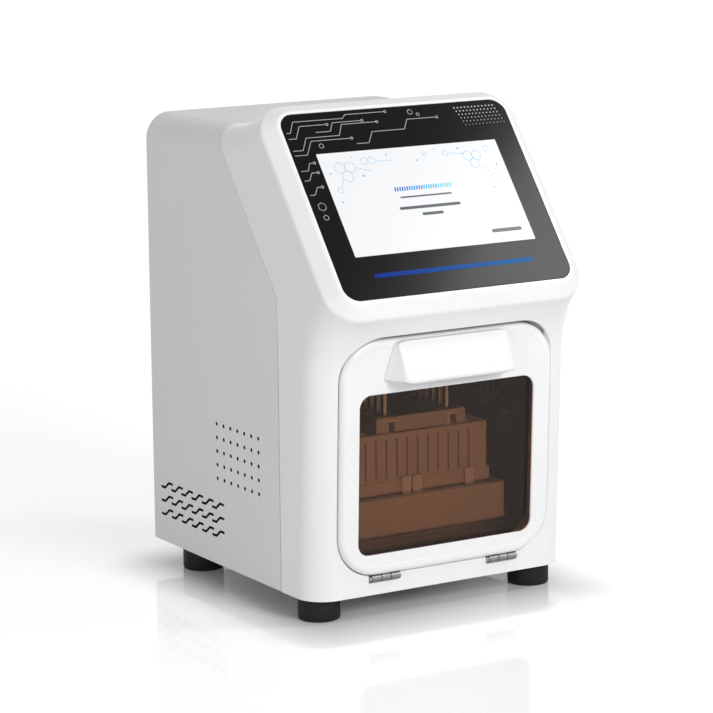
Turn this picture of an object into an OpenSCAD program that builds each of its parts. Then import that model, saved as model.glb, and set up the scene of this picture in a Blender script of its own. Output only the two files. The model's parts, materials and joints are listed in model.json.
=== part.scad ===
// Bench-top nucleic acid extractor: magnetic-rod type, 2 x 8 rods over a
// 96-well deep-well plate, with a drop-down window door and a tilted touch screen.
// X is the width, Y the depth (front at -Y), Z up from the bench. Millimetres.

/* [Cabinet] */
// Outer width of the sheet-metal casing
case_w = 224; // [216:1:250]
// Height of the casing from its bottom edge to its flat top
case_h = 332; // [326:1:360]
// Radius of the casing's top side edges
case_r = 20; // [8:1:30]
// Depth from the foot of the fascia to the outside of the back panel
cabinet_d = 239.5; // [236:0.5:270]
// Sheet thickness of the casing, back panel and base plate
sheet_t = 2; // [1:0.5:2.5]
// Depth of the moulded fascia at its foot, to the joint with the casing
fascia_foot_d = 44.5; // [38:0.5:50]
// Moulded wall thickness of the fascia
fascia_t = 3; // [2:0.5:4]
// Radius of the fascia's two upright front edges
fascia_r = 22; // [10:1:26]
// Forward lean of the front face, in degrees
lean = 2.25; // [0:0.25:3]

/* [Screen] */
// Tilt of the screen away from upright, in degrees
screen_tilt = 38; // [32:1:42]
// Height of the housing's lower rim above the bench
chin_z = 225.1; // [222:0.1:234]
// How far the lower rim stands out past the foot of the fascia
chin_out = 29.7; // [25:0.1:33]
// Width of the cover glass
glass_w = 193.4; // [180:0.2:196]
// Height of the cover glass along its slope
glass_h = 154.8; // [140:0.2:158]
// Corner radius of the cover glass
glass_r = 12; // [4:1:20]
// Thickness of the cover glass
glass_t = 2; // [1:0.5:3]
// Flat strip between the cover glass and the chamfer round it
bezel_w = 3; // [1:0.5:6]
// How much narrower than the casing the housing's rim is, on each side
rim_set = 2; // [0:0.5:6]
// Height of the screen housing's outer rim along its slope
rim_h = 180; // [172:0.5:184]
// Corner radius of the rim
rim_r = 26; // [16:1:34]
// Distance of the rim's edge behind the glass surface
rim_back = 8.3; // [4:0.1:12]
// Width of the lit area of the 7-inch display
display_w = 154.08; // [150:0.02:158]
// Height of the lit area of the display
display_h = 85.92; // [82:0.02:90]

/* [Door] */
// Width of the door
door_w = 181.3; // [176:0.1:184]
// Height of the door along its face
door_h = 175.7; // [170:0.1:178]
// Corner radius of the door
door_r = 32; // [20:1:40]
// Thickness of the door frame
door_t = 12; // [10:0.5:14]
// Height of the door's lower edge above the fascia's bottom edge
door_low = 14.5; // [14:0.5:18]
// How far the door stands proud of the fascia
door_proud = 3.3; // [1:0.1:5]
// Gap between the door and its recess
door_gap = 0.6; // [0.5:0.1:1.5]
// Width of the window opening
window_w = 150; // [130:1:156]
// Height of the window opening
window_h = 118.7; // [100:0.1:124]
// Corner radius of the window opening
window_r = 9.5; // [4:0.5:16]
// Thickness of the tinted pane
pane_t = 4; // [2:0.5:5]
// Width of the handle's front face
handle_w = 92; // [70:1:110]
// Height of the handle
handle_h = 29; // [22:1:34]
// How far the handle's lower edge stands out from the door
handle_out = 19; // [14:0.5:20]
// Distance of each hinge from the middle
hinge_x = 51; // [40:1:62]
// Length of each hinge barrel
hinge_len = 24; // [18:1:30]
// Radius of the hinge barrel
barrel_r = 2.8; // [2.2:0.1:3]
// Diameter of the hinge pin
pin_d = 2.4; // [1.6:0.1:2.8]

/* [Feet] */
// Height of the rubber feet
foot_h = 18; // [14:0.5:24]
// Diameter of the rubber feet
foot_d = 31; // [22:1:32]
// Sideways distance of each foot from the middle
foot_x = 92; // [84:1:92]
// Diameter of the hole for a foot's screw
foot_bore_d = 5.5; // [4.5:0.5:6.5]

/* [Chamber] */
// Inside width of the working chamber
chamber_w = 172; // [168:1:176]
// Height of the chamber floor's top above the bench
chamber_floor_z = 42; // [38:1:44]
// Distance of the bulkhead's front face behind the foot of the fascia
bulkhead_back = 142.5; // [140:0.5:150]
// Length of the deep-well plate
plate_l = 127.76; // [127:0.02:128]
// Width of the deep-well plate, front to back
plate_w = 85.48; // [85:0.02:86]
// Height of the deep-well plate
plate_h = 44; // [40:0.5:45]
// Height of the plate's foot above the bench
plate_z = 84; // [82:0.5:86]
// Distance between neighbouring wells
well_pitch = 9; // [9:0.01:9.02]
// Inside width of a square well
well_w = 8.2; // [7.8:0.1:8.4]
// Thickness of the plate under its wells
well_floor_t = 3; // [2:0.5:4]
// Distance of the plate's front face behind the foot of the fascia
plate_back = 25.3; // [24:0.1:28]
// Size of the plate tray beyond the plate on every side
tray_margin = 8; // [7:0.5:9]
// Height of the plate tray
tray_h = 27; // [22:1:30]

/* [Magnet head] */
// Outside diameter of a comb sleeve
sleeve_d = 7; // [6.6:0.1:7.4]
// Wall of a comb sleeve
sleeve_t = 0.6; // [0.4:0.1:0.7]
// Length of a comb sleeve below its strip
sleeve_l = 46; // [40:0.5:47]
// Diameter of a magnetic rod
rod_d = 5; // [4:0.1:5.2]
// Length of a magnetic rod below the rod plate
rod_l = 64; // [58:1:70]
// Thickness of the rod plate
rod_plate_t = 10; // [6:1:12]
// Gap between the plate's top and the comb holder
comb_clearance = 1; // [0.5:0.5:3]
// Height of the comb holder
holder_h = 11; // [9:0.5:13]
// Width of the comb holder
holder_w = 77.4; // [74:0.2:84]
// Diameter of the head's lead screw
screw_d = 8; // [6:1:8]
// Diameter of the rod drive's lead screw
rod_screw_d = 6; // [5:1:6]

/* [Rear] */
// Size of the square cooling fan
fan_w = 80; // [70:1:84]
// Depth of the cooling fan
fan_t = 25; // [15:1:32]
// Sideways place of the fan
fan_x = 45; // [40:1:50]
// Height of the fan's centre above the bench
fan_z = 190; // [170:1:240]
// Sideways place of the mains inlet
inlet_x = -66; // [-72:1:-60]
// Height of the mains inlet's centre above the bench
inlet_z = 74; // [72:1:90]

/* [Hidden] */
$fn = 48;
clear = 0.3;                       // general gap between pieces of different bodies

// ---- derived places (Y is counted from the middle of the whole depth) ----
base_z = foot_h;
foot_y_front = 24;
rim_low = [-chin_out, chin_z];
screen_back = rim_low[0] + rim_h / 2 * sin(screen_tilt) - rim_back * cos(screen_tilt);
screen_z = rim_low[1] + rim_h / 2 * cos(screen_tilt) + rim_back * sin(screen_tilt);
guard_t = 3;                       // how far the fan guard stands off the back panel
y_shift = -(rim_low[0] + cabinet_d + guard_t) / 2;   // puts the middle of the depth at Y = 0
case_top = base_z + case_h;
case_hw = case_w / 2;
rim_w = case_w - 2 * rim_set;
fascia_hw = case_hw - 0.5;
fascia_z = base_z - 0.5;

// front face: y at height z, measured from the foot of the fascia
function front_y(z) = -(z - base_z) * tan(lean);

// ---------------------------------------------------------------- helpers
// moves a piece from the foot of the fascia to the part's own frame
module placed() { translate([0, y_shift, 0]) children(); }

// frame of the leaning front face: x across, -y outwards, z up the face
module on_front() { placed() translate([0, 0, base_z]) rotate([lean, 0, 0]) children(); }

// frame of the screen: x across, y up the slope, z out of the glass
module on_screen() {
    placed() translate([0, screen_back, screen_z]) rotate([90 - screen_tilt, 0, 0]) children();
}

// rectangle with true round corners
module rounded(w, h, r) {
    rr = min(r, w / 2 - 0.01, h / 2 - 0.01);
    square([w - 2 * rr, h], center = true);
    square([w, h - 2 * rr], center = true);
    for (sx = [-1, 1], sy = [-1, 1]) translate([sx * (w / 2 - rr), sy * (h / 2 - rr)]) circle(rr);
}

// line of width w with round ends from p to q
module stroke(p, q, w) {
    d = q - p;
    translate(p) circle(d = w, $fn = 16);
    translate(q) circle(d = w, $fn = 16);
    translate(p) rotate(atan2(d[1], d[0])) translate([0, -w / 2]) square([norm(d), w]);
}

// rounded upright slab: outline in x and z, thickness from y0 to y1
module upright(w, h, r, y0, y1) {
    translate([0, y1, 0]) rotate([90, 0, 0]) linear_extrude(y1 - y0) rounded(w, h, r);
}

module box(x0, x1, y0, y1, z0, z1) { translate([x0, y0, z0]) cube([x1 - x0, y1 - y0, z1 - z0]); }

module rod_z(d, z0, z1) { translate([0, 0, z0]) cylinder(d = d, h = z1 - z0); }

module rod_x(d, x0, x1) { translate([x0, 0, 0]) rotate([0, 90, 0]) cylinder(d = d, h = x1 - x0); }

module rod_y(d, y0, y1) { translate([0, y1, 0]) rotate([90, 0, 0]) cylinder(d = d, h = y1 - y0); }

// ---------------------------------------------------------------- the joint between casing and fascia
part_y = fascia_foot_d;                       // upright stretch
housing_d = 60.9;                             // from the glass surface back to the slanted stretch
part_slope = tan(screen_tilt);
// height where the upright stretch meets the slanted one
bend_z = screen_z - housing_d * sin(screen_tilt)
    + (part_y - screen_back - housing_d * cos(screen_tilt)) / part_slope;
function part_line(z) = z < bend_z ? part_y : part_y + (z - bend_z) * part_slope;

// everything in front of the joint, seen from the side; grown back by g
module front_side(g) {
    z_top = 480;
    rotate([90, 0, 90]) translate([0, 0, -200]) linear_extrude(400) polygon([
        [-200, -10], [part_y + g, -10], [part_y + g, bend_z],
        [part_line(z_top) + g, z_top], [-200, z_top]]);
}

// ---------------------------------------------------------------- fascia form
// The outer skin is a loft between two closed outlines: the screen's rim, and a
// collar that runs round the lower body, up the joint and over the casing's top.
// Both start at the lower left corner and hold the same number of points.
arc_n = 8;
blend_n = 7;
psi = 90 - screen_tilt - lean;     // turn of the hollow under the rim
chi = screen_tilt;                 // turn of the hollow over the rim
hollow = 1 / tan(psi / 2);
collar_z = (rim_low[1] - hollow * (base_z * tan(lean) - rim_low[0])) / (1 - hollow * tan(lean));
side_steps = [0.2, 0.4];

function arc(c, r, a0, a1) = [for (i = [0:arc_n])
    c + r * [cos(a0 + (a1 - a0) * i / arc_n), sin(a0 + (a1 - a0) * i / arc_n)]];

// rounded rectangle in the screen's plane, with two extra points up each side
function rim_outline(w, h, r) =
    let (x = w / 2 - r, y = h / 2 - r, side = [for (k = side_steps) -y + 2 * y * k])
    concat(arc([-x, -y], r, 180, 270), arc([x, -y], r, 270, 360),
        [for (s = side) [w / 2, s]], arc([x, y], r, 0, 90), arc([-x, y], r, 90, 180),
        [for (i = [1, 0]) [-w / 2, side[i]]]);

// a point of the screen's plane, d behind the glass, in space
function from_screen(p, d) = [p[0],
    screen_back + p[1] * sin(screen_tilt) + d * cos(screen_tilt),
    screen_z + p[1] * cos(screen_tilt) - d * sin(screen_tilt)];

// the collar, with the wall taken off by inset t
function collar(t) =
    let (hw = fascia_hw - t, r = max(fascia_r - t, 2), yf = front_y(collar_z) + t,
        cr = max(case_r - t, 2), top = case_top - t, cx = case_hw - t - cr,
        mid = [(hw + case_hw - t) / 2, (yf + r + part_y) / 2, (collar_z + bend_z) / 2])
    concat(
        [for (p = arc([-hw + r, yf + r], r, 180, 270)) [p[0], p[1], collar_z]],
        [for (p = arc([hw - r, yf + r], r, 270, 360)) [p[0], p[1], collar_z]],
        [mid, [case_hw - t, part_y, bend_z]],
        [for (p = arc([cx, top - cr], cr, 0, 90)) [p[0], part_line(p[1]), p[1]]],
        [for (p = arc([-cx, top - cr], cr, 90, 180)) [p[0], part_line(p[1]), p[1]]],
        [[-case_hw + t, part_y, bend_z], [-mid[0], mid[1], mid[2]]]);

// 0 on the lower half of the outlines, 1 on the upper half
function upper(i) = i < 2 * arc_n + 2 ? 0 : i < 2 * arc_n + 4 ? (i - 2 * arc_n - 1) / 3
    : i < 4 * arc_n + 6 ? 1 : (4 * arc_n + 8 - i) / 3;

// how much of the rim is left at step s (1 at the rim, 0 at the collar)
function share(s, u) =
    let (under = (1 - cos(psi * s)) / (1 - cos(psi)), down = sin(psi * s) / sin(psi),
        over = (1 - cos(chi * s)) / (1 - cos(chi)), back = sin(chi * s) / sin(chi))
    [under * (1 - u) + over * u, under * (1 - u) + back * u, down * (1 - u) + over * u];

function blended(rim, col, s) = [for (i = [0:len(rim) - 1])
    let (w = share(s, upper(i)), d = rim[i] - col[i])
    col[i] + [d[0] * w[0], d[1] * w[1], d[2] * w[2]]];

// left and right points of an outline in pairs, from its lower edge to its upper one
left_side = concat([for (i = [arc_n:-1:0]) i], [for (i = [4 * arc_n + 7:-1:3 * arc_n + 5]) i]);
right_side = [for (i = [arc_n + 1:3 * arc_n + 4]) i];

// closes a stack of equal outlines into a solid: flat steps across both ends
module skin(rings) {
    n = len(rings[0]);
    last = (len(rings) - 1) * n;
    pairs = len(left_side) - 1;
    polyhedron(
        points = [for (ring = rings, p = ring) p],
        faces = concat(
            [for (k = [0:pairs - 1]) [right_side[k + 1], right_side[k], left_side[k]]],
            [for (k = [0:pairs - 1]) [left_side[k + 1], right_side[k + 1], left_side[k]]],
            [for (k = [0:pairs - 1]) [last + left_side[k], last + right_side[k], last + right_side[k + 1]]],
            [for (k = [0:pairs - 1]) [last + left_side[k], last + right_side[k + 1], last + left_side[k + 1]]],
            [for (j = [0:n:last - n], i = [0:n - 1]) let (k = (i + 1) % n) [j + k, j + n + i, j + i]],
            [for (j = [0:n:last - n], i = [0:n - 1]) let (k = (i + 1) % n) [j + n + k, j + n + i, j + k]]));
}

run_on = 60;                       // the loft runs back this far past the joint and is cut there
// screen housing down to the collar, with the wall taken off by inset t
module housing(t) {
    rim = [for (p = rim_outline(rim_w - 2 * t, rim_h - 2 * t, rim_r - t)) from_screen(p, rim_back + t)];
    face = [for (p = rim_outline(glass_w + 2 * bezel_w - 2 * t, glass_h + 2 * bezel_w - 2 * t, glass_r + bezel_w))
        from_screen(p, t > 0 ? pocket_y + seat_t : 0)];
    col = collar(t);
    skin(concat([face], [for (j = [0:blend_n]) blended(rim, col, 1 - j / blend_n)],
        [[for (p = col) p + [0, run_on, 0]]]));
}

// level section of the lower body, front corners first
function foot_section(z, t) =
    let (hw = fascia_hw - t, r = max(fascia_r - t, 2), y = front_y(z) + t + r)
    [for (p = concat(arc([-hw + r, y], r, 180, 270), arc([hw - r, y], r, 270, 360),
        [[hw, part_y + run_on], [-hw, part_y + run_on]])) [p[0], p[1], z]];

// lower body from z0 up to the collar, with the wall taken off by inset t
module lower_body(t, z0) {
    low = foot_section(z0, t);
    high = foot_section(collar_z, t);
    n = len(low);
    polyhedron(points = concat(low, high), faces = concat(
        [[for (i = [0:n - 1]) i]], [[for (i = [n - 1:-1:0]) n + i]],
        [for (i = [0:n - 1]) [i, n + i, (i + 1) % n]],
        [for (i = [0:n - 1]) [(i + 1) % n, n + i, n + (i + 1) % n]]));
}

door_mid_z = door_low + door_h / 2;
ledge_y = door_t - door_proud + 0.8;           // face that the door's seal meets
ledge_t = 3;
opening_side = 7.7;                // how far the door overlaps the opening: at the sides,
opening_low = 8.8;                 // at its lower edge
opening_top = 20;                  // and at its upper edge, where the catches are
opening_w = door_w - 2 * opening_side;
opening_h = door_h - opening_low - opening_top;
opening_mid_z = door_low + opening_low + opening_h / 2;
opening_r = door_r - 6;
pocket_y = glass_t + 0.3;         // depth of the cover glass's seat
seat_t = 2;                       // wall left under the cover glass

module front_fascia() color("#f4f5f6") {
    difference() {
        union() {
            difference() {
                placed() union() { housing(0); lower_body(0, fascia_z); }
                placed() union() { housing(fascia_t); lower_body(fascia_t, fascia_z - 1); }
                // clear of the casing behind the joint
                placed() difference() {
                    translate([-200, -100, -10]) cube([400, 400, 480]);
                    front_side(-0.4);
                }
            }
            // frame that carries the door's seal
            on_front() translate([0, 0, door_mid_z])
                upright(door_w + 7, door_h + 7, door_r + 3.5, fascia_t - 0.5, ledge_y + ledge_t);
        }
        // recess that takes the door
        on_front() translate([0, 0, door_mid_z])
            upright(door_w + 2 * door_gap, door_h + 2 * door_gap, door_r + door_gap, -10, ledge_y);
        // way into the chamber
        on_front() translate([0, 0, opening_mid_z])
            upright(opening_w, opening_h, opening_r, -10, ledge_y + 30);
        // seat of the cover glass, and the opening behind it
        on_screen() translate([0, 0, -pocket_y]) linear_extrude(20)
            rounded(glass_w + 0.6, glass_h + 0.6, glass_r);
        on_screen() translate([0, 0, -20]) linear_extrude(30) square([168, 102], center = true);
        // hinge seats: room for the barrel and a slot for the leaf
        for (s = [-1, 1]) hinge_at(s) {
            rod_x(2 * barrel_r + 1.2, -hinge_len / 2 - pin_over - 0.4, hinge_len / 2 + pin_over + 0.4);
            box(-hinge_len / 2 - 0.1, hinge_len / 2 + 0.1, 0, leaf_l + 0.2, -leaf_t / 2 - 0.1, leaf_t / 2 + 0.1);
        }
        // catch plate seats
        for (s = [-1, 1]) on_front() translate([s * catch_x, 0, catch_z])
            box(-7.1, 7.1, ledge_y - 0.1, ledge_y + 1.2, -4.1, 4.1);
    }
}

// ---------------------------------------------------------------- casing
module casing_outline(t) {
    x = case_hw - t;
    r = max(case_r - t, 1);
    intersection() {
        translate([0, (base_z + case_top) / 2 - t / 2 - 10])
            rounded(2 * x, case_h - t + 20, r);
        translate([-case_w, base_z]) square([2 * case_w, case_h]);
    }
}

vent_pitch = 10.4;
vent_y0 = 74.2;                   // front column of the round vents, from the foot of the fascia
vent_z0 = 84.6;                   // lowest row of the round vents
louvre_y0 = 130.6;
louvre_pitch = 16.6;
louvre_z0 = 43.6;
louvre_row = 11.6;
louvre_w = 3.2;

// one louvre: two short level ends joined by a slanted middle, seen from outside
module louvre() {
    pts = [[0, 0], [4, 0], [10.5, 5.6], [14.5, 5.6]];
    for (i = [0:2]) stroke(pts[i], pts[i + 1], louvre_w);
}

module side_vents() {
    for (i = [0:6], j = [0:4])
        translate([vent_y0 + i * vent_pitch, vent_z0 + j * vent_pitch]) circle(d = 2.8, $fn = 20);
    for (i = [0:5], j = [0:2])
        translate([louvre_y0 + i * louvre_pitch + 14.5, louvre_z0 + j * louvre_row]) mirror([1, 0]) louvre();
}

module rear_casing() color("#d9dbdd") {
    difference() {
        placed() translate([0, cabinet_d, 0]) rotate([90, 0, 0]) linear_extrude(cabinet_d)
            difference() {
                casing_outline(0);
                casing_outline(sheet_t);
                translate([-case_hw + sheet_t, base_z - 1]) square([case_w - 2 * sheet_t, 30]);
            }
        placed() front_side(0);
        placed() translate([-200, 0, 0]) rotate([90, 0, 90]) linear_extrude(400) side_vents();
    }
}

panel_y = cabinet_d - sheet_t;
module back_panel() color("#d0d2d4") {
    difference() {
        placed() translate([0, cabinet_d, 0]) rotate([90, 0, 0]) linear_extrude(sheet_t)
            difference() {
                casing_outline(sheet_t + 0.2);
                translate([fan_x, fan_z]) circle(d = fan_w - 4);
                translate([inlet_x, inlet_z]) square([28.4, 20.4], center = true);
                translate([switch_x, inlet_z]) square([switch_w + 0.4, switch_h + 0.4], center = true);
                translate([usb_x, inlet_z]) square([14.4, 7.4], center = true);
            }
        for (p = panel_screw_at) placed() translate([p[0], 0, p[1]]) rod_y(3.4, panel_y - 1, cabinet_d + 1);
    }
}

// ---------------------------------------------------------------- base and feet
foot_y_rear = cabinet_d - 41;
module base_plate() color("#b9bcc0") {
    hw_front = fascia_hw - fascia_t - 0.2;
    hw_rear = case_hw - sheet_t - 0.2;
    r = fascia_r - fascia_t;
    y_front = fascia_t + 0.3;
    difference() {
        placed() translate([0, 0, base_z]) linear_extrude(sheet_t) union() {
            difference() {
                translate([0, (y_front + part_y) / 2 + 20]) rounded(2 * hw_front, part_y - y_front + 40, r);
                translate([-200, part_y - 0.5]) square([400, 100]);
            }
            translate([-hw_rear, part_y]) square([2 * hw_rear, panel_y - 0.2 - part_y]);
            translate([-hw_front, part_y - 1]) square([2 * hw_front, 2]);
        }
        for (sx = [-1, 1], y = [foot_y_front, foot_y_rear]) placed()
            translate([sx * foot_x, y, 0]) rod_z(foot_bore_d, base_z - 1, base_z + sheet_t + 1);
    }
}

module foot(sx, y) color("#1b1b1c") placed() translate([sx * foot_x, y, 0]) rotate_extrude()
    polygon([[0, 4], [5, 4], [5, 0], [foot_d / 2 - 1.5, 0], [foot_d / 2, 1.5],
        [foot_d / 2, foot_h], [foot_bore_d / 2 - 1, foot_h], [foot_bore_d / 2 - 1, foot_h + 4], [0, foot_h + 4]]);

module foot_front_left() { foot(-1, foot_y_front); }
module foot_front_right() { foot(1, foot_y_front); }
module foot_rear_left() { foot(-1, foot_y_rear); }
module foot_rear_right() { foot(1, foot_y_rear); }

// ---------------------------------------------------------------- screen
module screen_glass() color("#141416") {
    difference() {
        on_screen() translate([0, 0, -glass_t]) linear_extrude(glass_t) rounded(glass_w, glass_h, glass_r - 0.3);
        on_screen() translate([0, -stripe_low, -1]) linear_extrude(5)
            rounded(stripe_l + 0.1, stripe_h + 0.1, stripe_h / 2);
    }
}

stripe_l = 135.5;
stripe_h = 3.6;
stripe_low = 59.3;                 // distance of the light bar below the screen's centre
module status_light() color("#0b4fb0") {
    on_screen() translate([0, -stripe_low, -1]) linear_extrude(1) rounded(stripe_l, stripe_h, stripe_h / 2);
}

panel_t = 5.5;
module display_panel() color("#f2f6fb") {
    on_screen() translate([0, 0, -glass_t - panel_t])
        linear_extrude(panel_t) square([display_w + 11, display_h + 14], center = true);
}

module display_board() color("#1f5c3a") {
    on_screen() translate([0, 0, -glass_t - panel_t - 8]) {
        linear_extrude(1.6) square([140, 82], center = true);
        for (sx = [-1, 1], sy = [-1, 1]) translate([sx * 64, sy * 36, 1.6]) cylinder(d = 5, h = 6.4);
        translate([-30, -10, -9]) cube([26, 20, 9]);
        translate([20, -34, -6]) cube([34, 12, 6]);
    }
}

// ---------------------------------------------------------------- hinges
axis_y = -0.5;
axis_z = door_low - 2.5;
leaf_t = 1.6;
leaf_l = 9;
pin_over = 1;                      // how far each pin's head reaches past the barrel
knuckle = hinge_len / 3;

// frame of one hinge: x along its pin, z up the face
module hinge_at(s) { on_front() translate([s * hinge_x, axis_y, axis_z]) children(); }

module fixed_leaf(s) color("#b8bbbe") hinge_at(s) difference() {
    union() {
        for (e = [-1, 1]) {
            x0 = e < 0 ? -hinge_len / 2 : hinge_len / 2 - knuckle + 0.3;
            rod_x(2 * barrel_r, x0, x0 + knuckle - 0.3);
            box(x0, x0 + knuckle - 0.3, 0, leaf_l, -leaf_t / 2, leaf_t / 2);
        }
        box(-hinge_len / 2, hinge_len / 2, barrel_r + 1.2, leaf_l, -leaf_t / 2, leaf_t / 2);
    }
    rod_x(pin_d, -hinge_len, hinge_len);
}

module door_leaf(s) color("#b8bbbe") hinge_at(s) difference() {
    union() {
        rod_x(2 * barrel_r, -knuckle / 2 + 0.3, knuckle / 2 - 0.3);
        box(-knuckle / 2 + 0.3, knuckle / 2 - 0.3, -leaf_t / 2, leaf_t / 2, 0, leaf_l);
    }
    rod_x(pin_d + 0.3, -hinge_len, hinge_len);
}

module hinge_pin(s) color("#3a3c3f") hinge_at(s) {
    rod_x(pin_d, -hinge_len / 2 - 0.6, hinge_len / 2 + 0.6);
    for (e = [-1, 1]) translate([e * (hinge_len / 2 + pin_over - 0.4), 0, 0]) rod_x(pin_d + 1.2, -0.4, 0.4);
}

module hinge_left_fixed_leaf() { fixed_leaf(-1); }
module hinge_right_fixed_leaf() { fixed_leaf(1); }
module hinge_left_door_leaf() { door_leaf(-1); }
module hinge_right_door_leaf() { door_leaf(1); }
module hinge_left_pin() { hinge_pin(-1); }
module hinge_right_pin() { hinge_pin(1); }

// ---------------------------------------------------------------- door
window_low = 15.7;                 // frame under the window
window_mid_z = door_low + window_low + window_h / 2;
pane_margin = 4;
pane_set = 2;                      // pane's distance behind the door face
edge_round = 3;

// ring round the chamber's opening, from y0 to y1, wider by slack on both sides
seal_in = 2.2;                     // seal's distance from the opening
seal_w = 3;
seal_set = 1.2;                    // how deep the seal sits in the door
seal_slack = 0.1;
module seal_ring(slack, y0, y1) {
    outer = seal_in + seal_w + slack;
    inner = seal_in - slack;
    on_front() translate([0, 0, opening_mid_z]) difference() {
        upright(opening_w + 2 * outer, opening_h + 2 * outer, opening_r + outer, y0, y1);
        upright(opening_w + 2 * inner, opening_h + 2 * inner, opening_r + inner, y0 - 1, y1 + 1);
    }
}

module door_frame() color("#f6f7f8") {
    difference() {
        on_front() translate([0, 0, door_mid_z]) union() {
            upright(door_w, door_h, door_r, edge_round - door_proud, door_t - door_proud);
            for (k = [1:3]) upright(door_w - 2 * edge_round * (1 - cos(22.5 * k)),
                door_h - 2 * edge_round * (1 - cos(22.5 * k)), door_r - edge_round * (1 - cos(22.5 * k)),
                edge_round * (1 - sin(22.5 * k)) - door_proud, edge_round - door_proud + 0.5);
            upright(door_w - 2 * edge_round, door_h - 2 * edge_round, door_r - edge_round, -door_proud, 0);
        }
        on_front() translate([0, 0, window_mid_z]) {
            upright(window_w, window_h, window_r, -20, 20);
            upright(window_w + 2 * pane_margin + 0.4, window_h + 2 * pane_margin + 0.4, window_r + pane_margin,
                pane_set - door_proud, 20);
        }
        // groove of the seal
        seal_ring(seal_slack, door_t - door_proud - seal_set, 20);
        // magnet pockets
        for (s = [-1, 1]) on_front() translate([s * catch_x, 0, catch_z])
            rod_y(magnet_d, door_t - door_proud - 3, 30);
        // hinge seats
        for (s = [-1, 1]) hinge_at(s) {
            rod_x(2 * barrel_r + 1.2, -hinge_len / 2 - pin_over - 0.4, hinge_len / 2 + pin_over + 0.4);
            box(-knuckle / 2 + 0.2, knuckle / 2 - 0.2, -leaf_t / 2 - 0.1, leaf_t / 2 + 0.1, 0, leaf_l + 0.2);
        }
    }
}

module door_window() color("#5c3a26", 0.75) {
    on_front() translate([0, 0, window_mid_z])
        upright(window_w + 2 * pane_margin, window_h + 2 * pane_margin, window_r + pane_margin - 0.2,
            pane_set - door_proud, pane_set + pane_t - door_proud);
}

handle_top = 3;                    // handle's distance under the door's top edge
handle_taper = 0.67;               // how far its upper edge stands out, against its lower edge
module door_handle() color("#ffffff") {
    z1 = door_low + door_h - handle_top;
    z0 = z1 - handle_h;
    r = 2.5;
    on_front() translate([0, -door_proud, 0]) difference() {
        hull() {
            for (s = [-1, 1]) {
                translate([s * (handle_w / 2 - r), -handle_out + r, z0 + r]) sphere(r, $fn = 16);
                translate([s * (handle_w / 2 - r), -handle_out * handle_taper + r, z1 - r]) sphere(r, $fn = 16);
                for (p = [[5, z0 + 1], [1, z1 - 1]]) translate([s * (handle_w / 2 + p[0]), -0.01, p[1]])
                    rotate([90, 0, 0]) cylinder(r = 1, h = 0.01, $fn = 12);
            }
        }
        // finger grip under the lip
        translate([0, -1, z0 - 1]) linear_extrude(13) translate([0, -handle_out / 2 + 2])
            rounded(handle_w - 14, handle_out - 8, 3);
    }
}

module door_seal() color("#2a2b2c") {
    seal_ring(0, door_t - door_proud - seal_set, ledge_y - clear);
}

catch_x = 54;
catch_z = door_low + door_h - 8.5;
magnet_d = 6;
module door_magnets() color("#9fa2a6") {
    for (s = [-1, 1]) on_front() translate([s * catch_x, 0, catch_z])
        rod_y(magnet_d - 0.2, door_t - door_proud - 3, door_t - door_proud);
}

module catch_plates() color("#8a8d91") {
    for (s = [-1, 1]) on_front() translate([s * catch_x, 0, catch_z]) box(-7, 7, ledge_y, ledge_y + 1.2, -4, 4);
}

// ---------------------------------------------------------------- chamber
liner_t = 1.5;
liner_top = 206;
liner_leg_y = ledge_y + ledge_t + 6;
module chamber_liner() color("#3b3633") {
    hw = chamber_w / 2;
    difference() {
        placed() union() {
            box(-hw - liner_t, hw + liner_t, 0, bulkhead_back, chamber_floor_z - liner_t, chamber_floor_z);
            for (s = [-1, 1]) {
                x0 = s < 0 ? -hw - liner_t : hw;
                box(x0, x0 + liner_t, 0, bulkhead_back, chamber_floor_z - liner_t, liner_top);
            }
            // legs to the base plate
            for (y = [liner_leg_y, bulkhead_back - liner_t])
                box(-hw - liner_t, hw + liner_t, y, y + liner_t, base_z + sheet_t, chamber_floor_z);
        }
        // its front edges follow the fascia's leaning ledge
        on_front() box(-case_hw, case_hw, -50, ledge_y + ledge_t + 0.1, -50, case_h);
        // fan vent in the right wall: rings of slots
        placed() translate([hw - 1, 62, 128]) rotate([90, 0, 90]) linear_extrude(4) for (k = [0:11])
            rotate(30 * k) translate([16, 0]) rounded(14, 3.4, 1.7);
    }
}

bulkhead_t = 2.5;
bulkhead_w = 184;
bulkhead_h = 283;
cable_way = [44, 20];              // window for the cables,
cable_at = [-70, 262];             // and its lower left corner
motor_way_w = 24;                  // notch for the lead screw's motor,
motor_way_z = 275;                 // and its lower end
module bulkhead() color("#8f9296") {
    placed() translate([0, bulkhead_back + bulkhead_t, 0]) rotate([90, 0, 0]) linear_extrude(bulkhead_t)
        difference() {
            translate([-bulkhead_w / 2, base_z + sheet_t]) square([bulkhead_w, bulkhead_h]);
            translate([screw_x - motor_way_w / 2, motor_way_z]) square([motor_way_w, 60]);
            translate(cable_at) square(cable_way);
        }
}

plate_x = -well_pitch / 2;         // puts columns 4 and 10 under the head
tray_w = plate_l + 2 * tray_margin;
tray_y0 = plate_back - tray_margin;
tray_y1 = plate_back + plate_w + tray_margin;
tray_top = plate_z - 1.6;
tray_z = tray_top - tray_h;

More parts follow.
